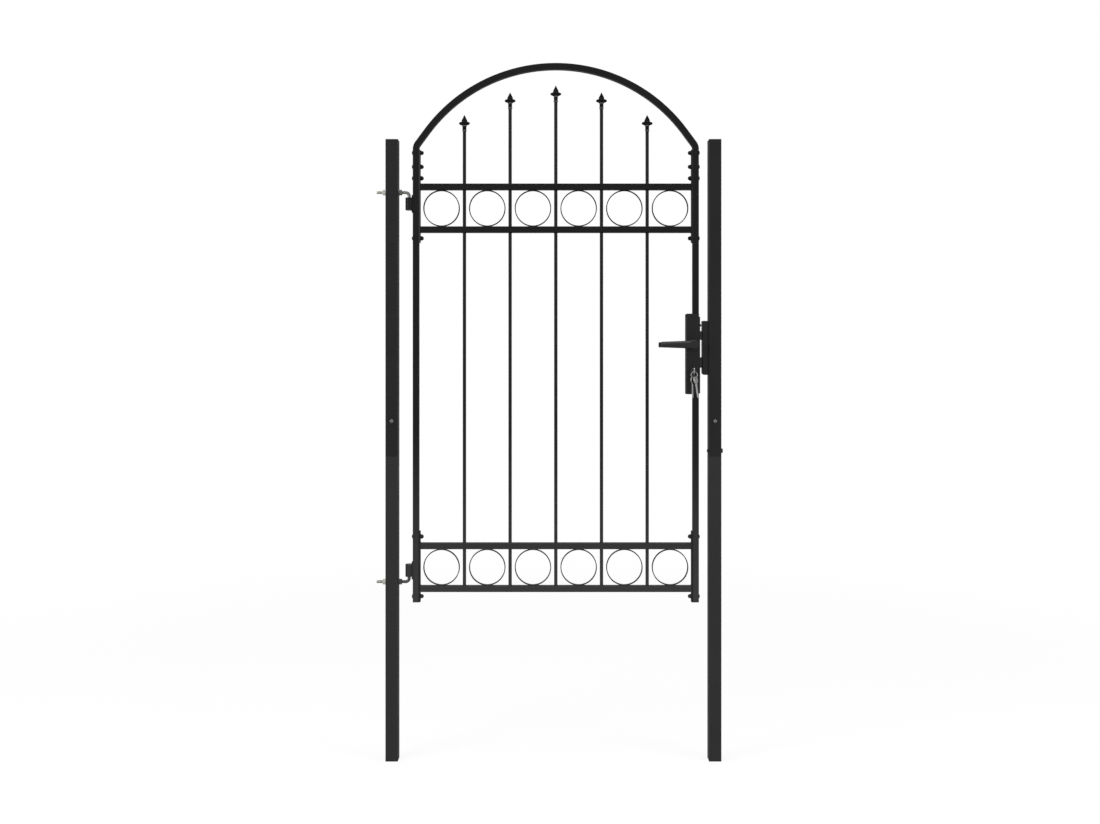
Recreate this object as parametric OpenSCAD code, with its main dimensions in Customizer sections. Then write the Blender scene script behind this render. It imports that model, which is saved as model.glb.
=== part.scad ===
// Single-leaf garden gate of powder-coated steel tube, hung between two square posts.
// The leaf has an arched head, five spear-headed bars and two panels of rings.
// Millimetres, +Z up, +X from the hinge post to the latch post, +Y to the back of the gate.

/* [Posts] */
// Side of the square post tube
post_w = 40; // [36:1:60]
// Wall of the post tube
post_wall = 1.5; // [1:0.1:3]
// Outer corner radius of the post tube
post_r = 2.5; // [2:0.1:4]
// Height of a post over its two caps
post_h = 2000; // [1970:10:2300]
// Clear width between the posts
opening_w = 1000; // [900:5:1200]
// Height of the seam between the lower and the upper length of a post
post_seam_z = 980; // [800:5:1100]
// Length of the spigot that joins the two lengths
spigot_len = 300; // [160:10:400]
// Wall of the spigot tube
spigot_wall = 2; // [1.5:0.1:4]
// Gap all round between the spigot and the post tube
spigot_fit = 0.3; // [0.1:0.05:0.6]
// Diameter of the bolts that hold the spigots
seam_bolt_d = 8; // [6:0.5:10]
// Rise from the seam to the bolts that run from front to back
seam_bolt_rise = 113; // [60:1:130]
// Rise from the seam to the bolt that runs across the latch post
cross_bolt_rise = 17; // [14:1:50]
// Diameter of a post bolt's domed head
seam_head_d = 14; // [12:0.5:18]
// Height of that head
seam_head_h = 4.5; // [3:0.5:6]
// Width across the flats of a post bolt's nut
seam_nut_af = 13; // [11:0.5:17]
// Height of that nut
seam_nut_h = 6.5; // [5:0.5:9]

/* [End caps] */
// Thickness of the cap plate on a post's end
cap_t = 3; // [2:0.5:8]
// Thickness of the plug plate under a stile
plug_t = 2; // [1:0.5:5]
// Length of a cap's skirt inside its tube
cap_skirt = 15; // [8:1:30]
// Wall of the skirt
cap_wall = 2; // [1.5:0.1:4]
// Gap all round between the skirt and its tube
cap_fit = 0.2; // [0.1:0.05:0.5]

/* [Hinges] */
// Diameter of the bent hinge bolt
bolt_d = 10; // [8:0.5:12]
// Bend radius of the bolt at its centre line
bend_r = 11; // [9:0.5:12]
// Length of bolt beyond the post's outer face
bolt_tail = 31; // [20:1:60]
// Width across the flats of a nut
nut_af = 16; // [14:0.5:18]
// Height of a nut with its flange
nut_h = 11; // [8:0.5:14]
// Diameter of the flange under a nut
flange_d = 21; // [19:0.5:26]
// Thickness of that flange
flange_t = 2.5; // [1.5:0.5:4]
// Gap all round a bolt in a drilled hole, a nut or a barrel
bolt_fit = 0.3; // [0.1:0.05:0.6]
// Outer diameter of a hinge barrel
barrel_d = 24; // [20:0.5:30]
// Height of a hinge barrel
barrel_h = 40; // [30:1:60]
// Least thickness of the pad between a barrel and the stile
pad_t = 0.5; // [0.5:0.1:3]
// Depth of that pad beyond the barrel's rim, towards the axis
pad_lap = 3; // [2:0.5:5]
// Height of the pad above and below the barrel
pad_over = 8; // [6:1:10]
// Distance of each barrel's middle from its end of the stile
hinge_inset = 102; // [80:1:140]
// Drop from the post's top to the upper barrel's middle, unless the stile ends lower
hinge_post_drop = 206; // [150:1:260]
// Distance between the barrel's end and the bolt's level run
hinge_drop = 17; // [16:0.5:24]

/* [Leaf frame] */
// Gap between the hinge post and the hinge stile
hinge_gap = 46.5; // [44:0.5:60]
// Gap between the latch stile and the latch post
latch_gap = 31; // [30:0.5:45]
// Side of the square stile and arch tube
stile_w = 20; // [18:0.5:26]
// Wall of the stile and arch tube
stile_wall = 1.5; // [1:0.1:2.5]
// Outer corner radius of the stile and arch tube
stile_r = 2; // [1.6:0.1:3]
// Height of the stiles' foot above the posts' foot
leaf_foot_z = 509; // [400:1:560]
// Length of a stile
stile_len = 1387; // [1300:1:1440]
// Height of an arch leg above the stile, up to its corner
arch_leg = 84; // [70:1:120]
// Radius of the bend between a leg and the arch, at the tube's middle
arch_bend_r = 30; // [20:1:60]
// Slope of the arch's straight ends
arch_slope = 53.5; // [45:0.5:60]
// Length of those straight ends, up to the corner that the bend rounds
arch_end_len = 60; // [40:1:90]

/* [Panels] */
// Height of a rail tube
rail_h = 20; // [16:0.5:22]
// Wall of a rail tube
rail_wall = 1.2; // [1:0.1:2]
// Outer corner radius of a rail tube
rail_r = 1.8; // [1.4:0.1:2.5]
// Clear height between the two rails of a panel
panel_clear = 118; // [90:1:136]
// Drop from the stile's top to the middle of the top rail
top_rail_drop = 47; // [36:1:70]
// Rise from the stile's foot to the middle of the bottom rail
foot_rail_rise = 43; // [30:1:60]
// Thickness of the plate welded across the rails' ends
end_plate_t = 4; // [2:0.5:6]
// Reach of an upper end plate below the middle of its lower rail
upper_plate_reach = 42; // [24:1:60]
// Reach of a lower end plate above the middle of its upper rail
lower_plate_reach = 48; // [24:1:70]
// Drop from the arch's corner to the top of the upper end plates
plate_top_drop = 11; // [6:1:25]
// Thickness of a ring's band
ring_t = 3; // [2:0.5:6]
// Depth of a ring's band
ring_depth = 10; // [6:1:16]
// Gap between a ring and the rails it is tacked to
ring_seat = 0.15; // [0.05:0.05:0.3]

/* [Bars and spear heads] */
// Diameter of a bar
bar_d = 11; // [8:0.5:12]
// Gap all round a bar in the holes of the rails
bar_fit = 0.25; // [0.1:0.05:0.4]
// Gap between the spear tips and the arch, measured straight up
tip_gap = 51; // [30:1:80]
// Height of a spear head
head_h = 53; // [46:0.2:60]
// Height of a head's sleeve
sleeve_h = 18.6; // [15:0.2:22]
// Wall of the sleeve
sleeve_wall = 1.6; // [1.2:0.1:3]
// Depth of the socket in the sleeve
socket_depth = 14; // [10:0.5:14.5]
// Width over the two petals
petal_span = 35; // [28:0.5:40]
// Rise from the sleeve's top to the petals' tips
petal_tip_rise = 9; // [6:0.2:11]
// Rise from the petals' tips to the middle of the curve under them
petal_under_rise = 10.5; // [9:0.5:13]
// Distance from the head's axis to the middle of the scoop over a petal
petal_scoop_out = 13; // [11:0.5:15]
// Rise from the petals' tips to the middle of that scoop
petal_scoop_rise = 10; // [8:0.5:12]
// Rise from the petals' tips to the waist under the blade
waist_rise = 4.5; // [3:0.1:6]
// Thickness of the petals
petal_t = 7; // [4:0.5:9]
// Width of the blade
blade_w = 16; // [11:0.5:20]
// Depth of the blade at its ridge
blade_depth = 9; // [6:0.5:12]
// Width of the blade's foot on the waist
blade_foot_w = 7; // [4:0.5:10]
// Depth of the blade's foot
blade_foot_depth = 5; // [3:0.5:7]
// Lap of the blade's foot into the waist
blade_lap = 0.8; // [0.4:0.1:2]
// Rise from the blade's foot to its widest place
blade_wide_rise = 8; // [5:0.5:12]
// Height of the two beads round a sleeve
bead_h = 3; // [2:0.5:4]
// Reach of a bead beyond its sleeve
bead_over = 1; // [0.5:0.1:2]

/* [Lock] */
// Height of the lever's spindle above the stile's foot
spindle_rise = 831; // [700:1:900]
// Distance from the spindle to the outer face of the latch stile
backset = 21; // [20:0.5:24]
// Height of the lock case
case_h = 246; // [220:1:280]
// Width of the lock case across the leaf
case_w = 43; // [40:0.5:50]
// Depth of the lock case through the leaf
case_d = 30; // [26:0.5:40]
// Wall of the lock case
case_wall = 2; // [1.5:0.1:3]
// Reach of the lock case beyond the stile's outer face
case_proud = 3; // [0:0.5:4]
// Height of the case above the spindle
case_rise = 89; // [75:1:110]
// Thickness of the lock's front strip
forend_t = 3; // [2:0.5:4]
// Width of the front strip
forend_w = 22; // [20:0.5:24]
// Margin of the front strip to the case's ends
forend_margin = 6; // [4:1:12]
// Width of a handle plate
handle_plate_w = 40; // [34:0.5:40]
// Height of a handle plate
handle_plate_h = 259; // [240:1:300]
// Drop from the spindle to the middle of the handle plates
handle_plate_drop = 30.5; // [20:0.5:40]
// Thickness of a handle plate
handle_plate_t = 5; // [3:0.5:8]
// Corner radius of a handle plate
handle_plate_r = 1.5; // [1:0.5:6]
// Drop from the spindle to the key's axis
cylinder_drop = 85; // [72:1:92]
// Diameter of the round part of the key cylinder
cylinder_d = 17; // [16:0.5:18]
// Height of the key cylinder
cylinder_h = 33; // [30:0.5:34]
// Width of the key cylinder's lower lobe
cylinder_lobe_w = 10; // [8:0.5:12]
// Reach of the key cylinder beyond the handle plates
cylinder_proud = 4; // [1:0.5:8]
// Gap all round the key cylinder and the bolts in their holes
lock_fit = 0.3; // [0.1:0.05:0.5]
// Height of the dead bolt
dead_bolt_h = 34; // [28:0.5:40]
// Thickness of the dead bolt
dead_bolt_t = 10; // [8:0.5:14]
// Drop from the spindle to the middle of the dead bolt
dead_bolt_drop = 58; // [54:0.5:64]

/* [Latch and levers] */
// Height of the latch tongue
tongue_h = 28; // [20:0.5:32]
// Thickness of the latch tongue
tongue_t = 12; // [8:0.5:16]
// Length of the latch tongue inside the front strip
tongue_tail = 26; // [20:1:28]
// Rise from the spindle to the middle of the tongue
tongue_rise = 29; // [26:0.5:34]
// Gap between the keep and the noses of the tongue and the dead bolt
tongue_clear = 0.5; // [0.3:0.1:1]
// Side of the square spindle
spindle_w = 8; // [7:0.5:9]
// Diameter of the spindle's hole through the lock case
spindle_hole_d = 13; // [13:0.5:15]
// Length of a lever from the spindle to its tip
lever_len = 103; // [85:1:120]
// Height of a lever's grip at its tip
lever_h = 16.5; // [12:0.5:20]
// Height of a lever's grip at the spindle
lever_root_h = 24; // [18:0.5:26]
// Height of the facet sloped off a grip's upper outer edge
lever_facet_h = 6.5; // [3:0.5:8]
// Depth of that facet
lever_facet_d = 5; // [3:0.5:8]
// Thickness of a lever's grip
lever_t = 12; // [9:0.5:16]
// Distance of a grip's middle from the middle of the leaf
lever_reach = 47; // [42:0.5:60]
// Diameter of a lever's neck
neck_d = 18; // [16:0.5:20]
// Diameter of the boss where neck and grip meet
boss_d = 28; // [26:0.5:32]
// Chamfer round the boss's outer edge
boss_chamfer = 2.5; // [1:0.5:4]
// Gap between a lever's neck and its handle plate
neck_clear = 0.3; // [0.2:0.1:0.6]

/* [Keep] */
// Reach of the keep from the post's face
keep_w = 20; // [16:0.5:20.5]
// Height of the keep
keep_h = 174; // [150:1:200]
// Depth of the keep through the gate
keep_d = 30; // [26:0.5:40]
// Rise from the spindle to the keep's top
keep_rise = 76; // [60:1:90]
// Radius of the keep's rounded lower corner
keep_r = 9; // [6:0.5:16]
// Wall of the folded keep
keep_wall = 2.5; // [1.5:0.5:4]
// Room all round a bolt in its slot
keep_slot_room = 2; // [1:0.5:3]

/* [Keys] */
// Diameter of a key's bow
bow_d = 24; // [18:0.5:26]
// Thickness of a key
key_t = 2.2; // [1.6:0.1:3]
// Height of a key's blade
key_blade_h = 8; // [6:0.5:9]
// Blade left showing in front of the key cylinder
key_stem = 7; // [4:0.5:12]
// Length of a spare key's blade
spare_blade_len = 46; // [30:1:50]
// Diameter of the hole in a key's bow
bow_hole_d = 7; // [6:0.5:8]
// Rim left between that hole and the bow's edge
bow_rim = 2; // [1.5:0.1:3]
// Diameter of the key ring at its wire's middle
key_ring_d = 20; // [20:0.5:34]
// Diameter of the ring's wire
key_wire_d = 1.8; // [1.4:0.1:2]
// Turn of the two spare keys about the vertical
spare_turn = 50; // [45:1:60]
// Distance between the two spare keys along the ring
spare_gap = 8; // [7:0.5:9]
// Lean of the spare key on the latch side
spare_lean = 8; // [0:1:12]
// Distance between the cuts in a key's blade
key_cut_pitch = 5; // [4:0.5:6]
// Depth of the deepest cut
key_cut_depth = 2.4; // [1:0.1:3]

/* [Hidden] */
$fn = 64;

// Overshoot of a cut past the face that it opens
over = 1;

// Colours as the gate shows them
black_coat = [0.14, 0.14, 0.145];
black_plastic = [0.09, 0.09, 0.095];
zinc = [0.72, 0.71, 0.68];
nickel = [0.66, 0.66, 0.65];

// Places across the gate
latch_post_x = post_w + opening_w;
hinge_out_x = post_w / 2 + hinge_gap;
latch_out_x = latch_post_x - post_w / 2 - latch_gap;
hinge_stile_x = hinge_out_x + stile_w / 2;
latch_stile_x = latch_out_x - stile_w / 2;
leaf_mid_x = (hinge_stile_x + latch_stile_x) / 2;
inner_left_x = hinge_out_x + stile_w + end_plate_t;
inner_right_x = latch_out_x - stile_w - end_plate_t;
inner_w = inner_right_x - inner_left_x;
hinge_axis_x = hinge_out_x - pad_t - barrel_d / 2;

// Bars across the leaf, one node each, and the bays between them
bar_count = 5;
bay_pitch = (inner_w + bar_d) / (bar_count + 1);
bay_clear = bay_pitch - bar_d;
function bar_x(i) = inner_left_x + bay_clear + bar_d / 2 + i * bay_pitch;
function ring_x(i) = inner_left_x + bay_clear / 2 + i * bay_pitch;

// Heights of the bolts through the posts
seam_bolt_z = post_seam_z + seam_bolt_rise;
cross_bolt_z = post_seam_z + cross_bolt_rise;

// Heights of the leaf
stile_top_z = leaf_foot_z + stile_len;
rail_step = panel_clear + rail_h;
top_rail_z = stile_top_z - top_rail_drop;
second_rail_z = top_rail_z - rail_step;
bottom_rail_z = leaf_foot_z + foot_rail_rise;
third_rail_z = bottom_rail_z + rail_step;
upper_barrel_z = min(stile_top_z - hinge_inset, post_h - hinge_post_drop);
lower_barrel_z = leaf_foot_z + hinge_inset;
upper_bolt_z = upper_barrel_z + barrel_h / 2 + hinge_drop;
lower_bolt_z = lower_barrel_z - barrel_h / 2 - hinge_drop;

// Arch: a round middle that runs straight into its two bent corners
arch_half_w = (latch_stile_x - hinge_stile_x) / 2;
arch_r = (arch_half_w - arch_end_len * cos(arch_slope)) / sin(arch_slope);
arch_kink_z = stile_top_z + arch_leg;
arch_bend_run = arch_bend_r * tan((90 - arch_slope) / 2);
arch_bend_z = arch_kink_z - arch_bend_run;
arch_steps = 72;
bend_steps = 6;
arch_mid_z = arch_kink_z + arch_end_len * sin(arch_slope) - arch_r * cos(arch_slope);
function arch_under_z(x) = arch_mid_z + sqrt(pow(arch_r - stile_w / 2, 2) - pow(x - leaf_mid_x, 2));

// Bars and heads
bar_foot_z = bottom_rail_z - rail_h / 2 + rail_wall;
function head_z(i) = arch_under_z(bar_x(i)) - tip_gap - head_h;
bar_hole_d = bar_d + 2 * bar_fit;
sleeve_d = bar_d + 2 * (bar_fit + sleeve_wall);
petal_tip_z = sleeve_h + petal_tip_rise;

// Lock
spindle_x = latch_out_x - backset;
spindle_z = leaf_foot_z + spindle_rise;
case_right_x = latch_out_x + case_proud;
case_left_x = case_right_x - case_w;
case_top_z = spindle_z + case_rise;
case_foot_z = case_top_z - case_h;
handle_face = case_d / 2 + handle_plate_t;
cylinder_z = spindle_z - cylinder_drop;
cylinder_face = handle_face + cylinder_proud;
dead_bolt_z = spindle_z - dead_bolt_drop;
tongue_z = spindle_z + tongue_rise;
forend_left_x = case_right_x - forend_t;
keep_left_x = latch_post_x - post_w / 2 - keep_w;
keep_top_z = spindle_z + keep_rise;
bolt_nose_x = keep_left_x - tongue_clear;
lever_inner = lever_reach - lever_t / 2;
lever_outer = lever_reach + lever_t / 2;

// Keys: the ring hangs from the hole of the key in the lock
key_reach = key_stem + bow_d - bow_rim - bow_hole_d / 2;
key_hole_y = -cylinder_face - key_reach;
ring_top_z = cylinder_z - bow_hole_d / 2 + key_wire_d / 2 + lock_fit;
ring_mid_z = ring_top_z - key_ring_d / 2;

// Shapes that repeat

module rounded_rect(w, h, r) {
    square([w - 2 * r, h], center = true);
    square([w, h - 2 * r], center = true);
    for (sx = [-1, 1], sy = [-1, 1])
        translate([sx * (w / 2 - r), sy * (h / 2 - r)]) circle(r);
}

module tube_section(w, wall, r) {
    difference() {
        rounded_rect(w, w, r);
        rounded_rect(w - 2 * wall, w - 2 * wall, max(r - wall, 0.3));
    }
}

// Upright square tube at one place along the gate
module upright(x, z0, z1, w, wall, r) {
    translate([x, 0, z0]) linear_extrude(z1 - z0) tube_section(w, wall, r);
}

// Cylinder along +X from x0 to x1
module along_x(x0, x1, z, d) {
    translate([x0, 0, z]) rotate([0, 90, 0]) cylinder(d = d, h = x1 - x0);
}

// Flat outline drawn in X and Z, given its thickness about the gate's middle plane
module plate_xz(t) {
    rotate([90, 0, 0]) translate([0, 0, -t / 2]) linear_extrude(t) children();
}

// Posts

module post_length(x, z0, z1) {
    upright(x, z0, z1, post_w, post_wall, post_r);
}

// Hole through both walls for a hinge bolt
module hinge_hole(z) {
    along_x(-post_w / 2 - over, post_w / 2 + over, z, bolt_d + 2 * bolt_fit);
}

// Hole from front to back through a post and its spigot
module seam_hole(x) {
    translate([x, 0, seam_bolt_z]) rotate([90, 0, 0])
        cylinder(d = seam_bolt_d + 2 * bolt_fit, h = post_w + 2 * over, center = true);
}

// Hole across the latch post and its spigot
module cross_hole() {
    reach = post_w / 2 + over;
    along_x(latch_post_x - reach, latch_post_x + reach, cross_bolt_z, seam_bolt_d + 2 * bolt_fit);
}

module hinge_post_lower() {
    color(black_coat) difference() {
        post_length(0, cap_t, post_seam_z);
        hinge_hole(lower_bolt_z);
    }
}

module hinge_post_upper() {
    color(black_coat) difference() {
        post_length(0, post_seam_z, post_h - cap_t);
        hinge_hole(upper_bolt_z);
        seam_hole(0);
    }
}

module latch_post_lower() { color(black_coat) post_length(latch_post_x, cap_t, post_seam_z); }

module latch_post_upper() {
    color(black_coat) difference() {
        post_length(latch_post_x, post_seam_z, post_h - cap_t);
        seam_hole(latch_post_x);
        cross_hole();
    }
}

module post_spigots() {
    w = post_w - 2 * (post_wall + spigot_fit);
    foot_z = post_seam_z - spigot_len / 2;
    color(black_coat) difference() {
        for (x = [0, latch_post_x]) upright(x, foot_z, foot_z + spigot_len, w, spigot_wall, post_r);
        for (x = [0, latch_post_x]) seam_hole(x);
        cross_hole();
    }
}

// Bolt along +Z through a post about the origin: domed head below, nut above
module post_bolt() {
    dome_r = (pow(seam_head_d / 2, 2) + pow(seam_head_h, 2)) / (2 * seam_head_h);
    cylinder(d = seam_bolt_d, h = post_w + seam_nut_h, center = true);
    translate([0, 0, -post_w / 2]) mirror([0, 0, 1]) rotate_extrude() intersection() {
        translate([0, seam_head_h - dome_r]) circle(dome_r);
        square([seam_head_d, 2 * seam_head_h]);
    }
    translate([0, 0, post_w / 2]) cylinder(d = seam_nut_af / cos(30), h = seam_nut_h, $fn = 6);
}

module seam_bolts() {
    color(zinc) for (x = [0, latch_post_x])
        translate([x, 0, seam_bolt_z]) rotate([-90, 0, 0]) post_bolt();
}

module cross_bolt() {
    color(black_coat) translate([latch_post_x, 0, cross_bolt_z]) rotate([0, 90, 0]) post_bolt();
}

// Cap with its plate above z = 0 and its skirt below, for a tube of the given size
module tube_cap(w, wall, r, t) {
    skirt_w = w - 2 * (wall + cap_fit);
    linear_extrude(t) rounded_rect(w, w, r);
    translate([0, 0, -cap_skirt]) linear_extrude(cap_skirt + t / 2)
        tube_section(skirt_w, cap_wall, r);
}

module post_top_caps() {
    color(black_plastic) for (x = [0, latch_post_x])
        translate([x, 0, post_h - cap_t]) tube_cap(post_w, post_wall, post_r, cap_t);
}

module post_foot_caps() {
    color(black_plastic) for (x = [0, latch_post_x])
        translate([x, 0, cap_t]) mirror([0, 0, 1]) tube_cap(post_w, post_wall, post_r, cap_t);
}

// Hinges

// Bolt with its level run at z = 0 and its pin pointing down
module bent_bolt() {
    pin_len = hinge_drop - bend_r + barrel_h;
    bend_x = hinge_axis_x - bend_r;
    along_x(-post_w / 2 - bolt_tail, bend_x, 0, bolt_d);
    translate([bend_x, 0, -bend_r]) rotate([90, 0, 0])
        rotate_extrude(angle = 90) translate([bend_r, 0]) circle(d = bolt_d);
    translate([hinge_axis_x, 0, -bend_r - pin_len]) cylinder(d = bolt_d, h = pin_len);
}

module hinge_bolt_upper() { color(zinc) translate([0, 0, upper_bolt_z]) bent_bolt(); }

module hinge_bolt_lower() {
    color(zinc) translate([0, 0, lower_bolt_z]) mirror([0, 0, 1]) bent_bolt();
}

// Flange nut standing on z = 0
module flange_nut() {
    difference() {
        union() {
            cylinder(d = flange_d, h = flange_t);
            cylinder(d = nut_af / cos(30), h = nut_h, $fn = 6);
        }
        translate([0, 0, -over]) cylinder(d = bolt_d + 2 * bolt_fit, h = nut_h + 2 * over);
    }
}

module hinge_nuts() {
    color(zinc) for (z = [upper_bolt_z, lower_bolt_z], side = [-1, 1])
        translate([side * post_w / 2, 0, z]) rotate([0, side * 90, 0]) flange_nut();
}

// Barrel with the pad that is welded to the stile
module hinge_barrel(z) {
    pad_h = barrel_h + 2 * pad_over;
    pad_x = hinge_axis_x + barrel_d / 2 - pad_lap;
    color(black_coat) difference() {
        union() {
            translate([hinge_axis_x, 0, z - barrel_h / 2]) cylinder(d = barrel_d, h = barrel_h);
            translate([pad_x, -stile_w / 2, z - pad_h / 2]) cube([pad_lap + pad_t, stile_w, pad_h]);
        }
        translate([hinge_axis_x, 0, z - pad_h / 2]) cylinder(d = bolt_d + 2 * bolt_fit, h = pad_h);
    }
}

module hinge_barrel_upper() { hinge_barrel(upper_barrel_z); }

module hinge_barrel_lower() { hinge_barrel(lower_barrel_z); }

// Leaf frame

module stile_length(x, z0, z1) {
    color(black_coat) upright(x, z0, z1, stile_w, stile_wall, stile_r);
}

module hinge_stile() { stile_length(hinge_stile_x, leaf_foot_z + plug_t, stile_top_z); }

module latch_stile_lower() { stile_length(latch_stile_x, leaf_foot_z + plug_t, case_foot_z); }

module latch_stile_upper() { stile_length(latch_stile_x, case_top_z, stile_top_z); }

module stile_plugs() {
    color(black_plastic) for (x = [hinge_stile_x, latch_stile_x])
        translate([x, 0, leaf_foot_z + plug_t]) mirror([0, 0, 1])
            tube_cap(stile_w, stile_wall, stile_r, plug_t);
}

// Points of an arc about a centre, from one angle to another
function arc_points(mid, r, from, to, steps) = [
    for (i = [0 : steps])
        let (turn = from + (to - from) * i / steps) mid + r * [cos(turn), sin(turn)]
];

// Edge of the arch in front view at a distance outside its middle line, from the latch side
function arch_edge(off) = concat(
    [[arch_half_w + off, stile_top_z]],
    arc_points([arch_half_w - arch_bend_r, arch_bend_z], arch_bend_r + off,
        0, 90 - arch_slope, bend_steps),
    arc_points([0, arch_mid_z], arch_r + off, 90 - arch_slope, 90 + arch_slope, arch_steps),
    arc_points([arch_bend_r - arch_half_w, arch_bend_z], arch_bend_r + off,
        90 + arch_slope, 180, bend_steps),
    [[-arch_half_w - off, stile_top_z]]
);

module arch_band(band) {
    inner = arch_edge(-band / 2);
    polygon(concat(arch_edge(band / 2), [for (i = [len(inner) - 1 : -1 : 0]) inner[i]]));
}

module arch() {
    color(black_coat) translate([leaf_mid_x, 0, 0]) difference() {
        plate_xz(stile_w) arch_band(stile_w);
        plate_xz(stile_w - 2 * stile_wall) arch_band(stile_w - 2 * stile_wall);
        for (side = [-1, 1]) translate([side * arch_half_w, 0, stile_top_z])
            cube([stile_w - 2 * stile_wall, stile_w - 2 * stile_wall, 2 * over], center = true);
    }
}

// Panels

module rail_tube(z) {
    translate([inner_left_x, 0, z]) rotate([90, 0, 90])
        linear_extrude(inner_w) tube_section(rail_h, rail_wall, rail_r);
}

// Rail with its bar holes; the bars stand on the floor inside the bottom rail
module rail(z, hole_foot_z) {
    color(black_coat) difference() {
        rail_tube(z);
        for (i = [0 : bar_count - 1])
            translate([bar_x(i), 0, hole_foot_z])
                cylinder(d = bar_hole_d, h = z + rail_h / 2 + over - hole_foot_z);
    }
}

module top_rail() { rail(top_rail_z, top_rail_z - rail_h / 2 - over); }

module second_rail() { rail(second_rail_z, second_rail_z - rail_h / 2 - over); }

module third_rail() { rail(third_rail_z, third_rail_z - rail_h / 2 - over); }

module bottom_rail() { rail(bottom_rail_z, bottom_rail_z); }

module end_plate(x, z0, z1) {
    color(black_coat) translate([x, -stile_w / 2, z0]) cube([end_plate_t, stile_w, z1 - z0]);
}

module upper_end_plate(x) {
    end_plate(x, second_rail_z - upper_plate_reach, arch_kink_z - plate_top_drop);
}

module lower_end_plate(x) { end_plate(x, leaf_foot_z, third_rail_z + lower_plate_reach); }

module hinge_plate_upper() { upper_end_plate(inner_left_x - end_plate_t); }

module hinge_plate_lower() { lower_end_plate(inner_left_x - end_plate_t); }

module latch_plate_upper() { upper_end_plate(inner_right_x); }

module latch_plate_lower() { lower_end_plate(inner_right_x); }

module ring_row(z) {
    ring_d = panel_clear - 2 * ring_seat;
    color(black_coat) for (i = [0 : bar_count])
        translate([ring_x(i), 0, z]) plate_xz(ring_depth) difference() {
            circle(d = ring_d, $fn = 96);
            circle(d = ring_d - 2 * ring_t, $fn = 96);
        }
}

module upper_rings() { ring_row((top_rail_z + second_rail_z) / 2); }

module lower_rings() { ring_row((third_rail_z + bottom_rail_z) / 2); }

// Bars and spear heads

module bar(i) {
    color(black_coat) translate([bar_x(i), 0, bar_foot_z])
        cylinder(d = bar_d, h = head_z(i) + socket_depth - bar_foot_z);
}

module bar_1() { bar(0); }

module bar_2() { bar(1); }

module bar_3() { bar(2); }

module bar_4() { bar(3); }

module bar_5() { bar(4); }

// Two petals that open like a lily from the top of the sleeve
module petal_outline() {
    half = petal_span / 2;
    under_r = sqrt(pow(half, 2) + pow(petal_under_rise, 2));
    scoop_r = sqrt(pow(half - petal_scoop_out, 2) + pow(petal_scoop_rise, 2));
    translate([0, petal_tip_z]) difference() {
        translate([0, petal_under_rise]) circle(under_r);
        for (side = [-1, 1]) translate([side * petal_scoop_out, petal_scoop_rise]) circle(scoop_r);
        translate([-petal_span, waist_rise]) square([2 * petal_span, 2 * under_r]);
    }
}

// Blade cut to a ridge on both faces, seen in one of its two directions
module blade_outline(w, foot_w) {
    foot_z = petal_tip_z + waist_rise - blade_lap;
    wide_z = foot_z + blade_wide_rise;
    polygon([
        [-foot_w / 2, foot_z], [foot_w / 2, foot_z], [w / 2, wide_z], [0, head_h], [-w / 2, wide_z]
    ]);
}

module spear_head() {
    difference() {
        union() {
            cylinder(d = sleeve_d, h = sleeve_h + bead_h);
            for (z = [0, sleeve_h - bead_h])
                translate([0, 0, z]) cylinder(d = sleeve_d + 2 * bead_over, h = bead_h);
        }
        translate([0, 0, -over]) cylinder(d = bar_hole_d, h = socket_depth + over);
    }
    plate_xz(petal_t) petal_outline();
    intersection() {
        plate_xz(2 * blade_depth) blade_outline(blade_w, blade_foot_w);
        rotate([0, 0, 90]) plate_xz(2 * blade_w) blade_outline(blade_depth, blade_foot_depth);
    }
}

module spear_heads() {
    color(black_coat) for (i = [0 : bar_count - 1])
        translate([bar_x(i), 0, head_z(i)]) spear_head();
}

// Lock

// Round-topped outline of the key cylinder, about the key's axis
module cylinder_outline(gap) {
    lobe_z = cylinder_d / 2 - cylinder_h + cylinder_lobe_w / 2;
    circle(d = cylinder_d + 2 * gap);
    translate([0, lobe_z]) circle(d = cylinder_lobe_w + 2 * gap);
    translate([-cylinder_lobe_w / 2 - gap, lobe_z]) square([cylinder_lobe_w + 2 * gap, -lobe_z]);
}

// Straight-sided cut for a bolt that slides along X
module bolt_cut(x0, x1, t, z, h) {
    translate([x0, -t / 2, z - h / 2]) cube([x1 - x0, t, h]);
}

module lock_case() {
    strip_w = forend_w + 2 * lock_fit;
    strip_h = case_h - 2 * (forend_margin - lock_fit);
    color(black_coat) difference() {
        translate([case_left_x, -case_d / 2, case_foot_z]) cube([case_w, case_d, case_h]);
        translate([case_left_x + case_wall, case_wall - case_d / 2, case_foot_z + case_wall])
            cube([case_w - 2 * case_wall, case_d - 2 * case_wall, case_h - 2 * case_wall]);
        bolt_cut(forend_left_x, case_right_x + over, strip_w, case_top_z - case_h / 2, strip_h);
        translate([spindle_x, 0, spindle_z]) plate_xz(2 * case_d) circle(d = spindle_hole_d);
        translate([spindle_x, 0, cylinder_z]) plate_xz(2 * case_d) cylinder_outline(lock_fit);
    }
}

module lock_forend() {
    color(zinc) difference() {
        bolt_cut(forend_left_x, case_right_x, forend_w, case_top_z - case_h / 2,
            case_h - 2 * forend_margin);
        bolt_cut(forend_left_x - over, case_right_x + over, tongue_t + 2 * lock_fit, tongue_z,
            tongue_h + 2 * lock_fit);
        bolt_cut(forend_left_x - over, case_right_x + over, dead_bolt_t + 2 * lock_fit, dead_bolt_z,
            dead_bolt_h + 2 * lock_fit);
    }
}

module dead_bolt() {
    color(zinc) bolt_cut(forend_left_x - tongue_tail, bolt_nose_x, dead_bolt_t,
        dead_bolt_z, dead_bolt_h);
}

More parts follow.
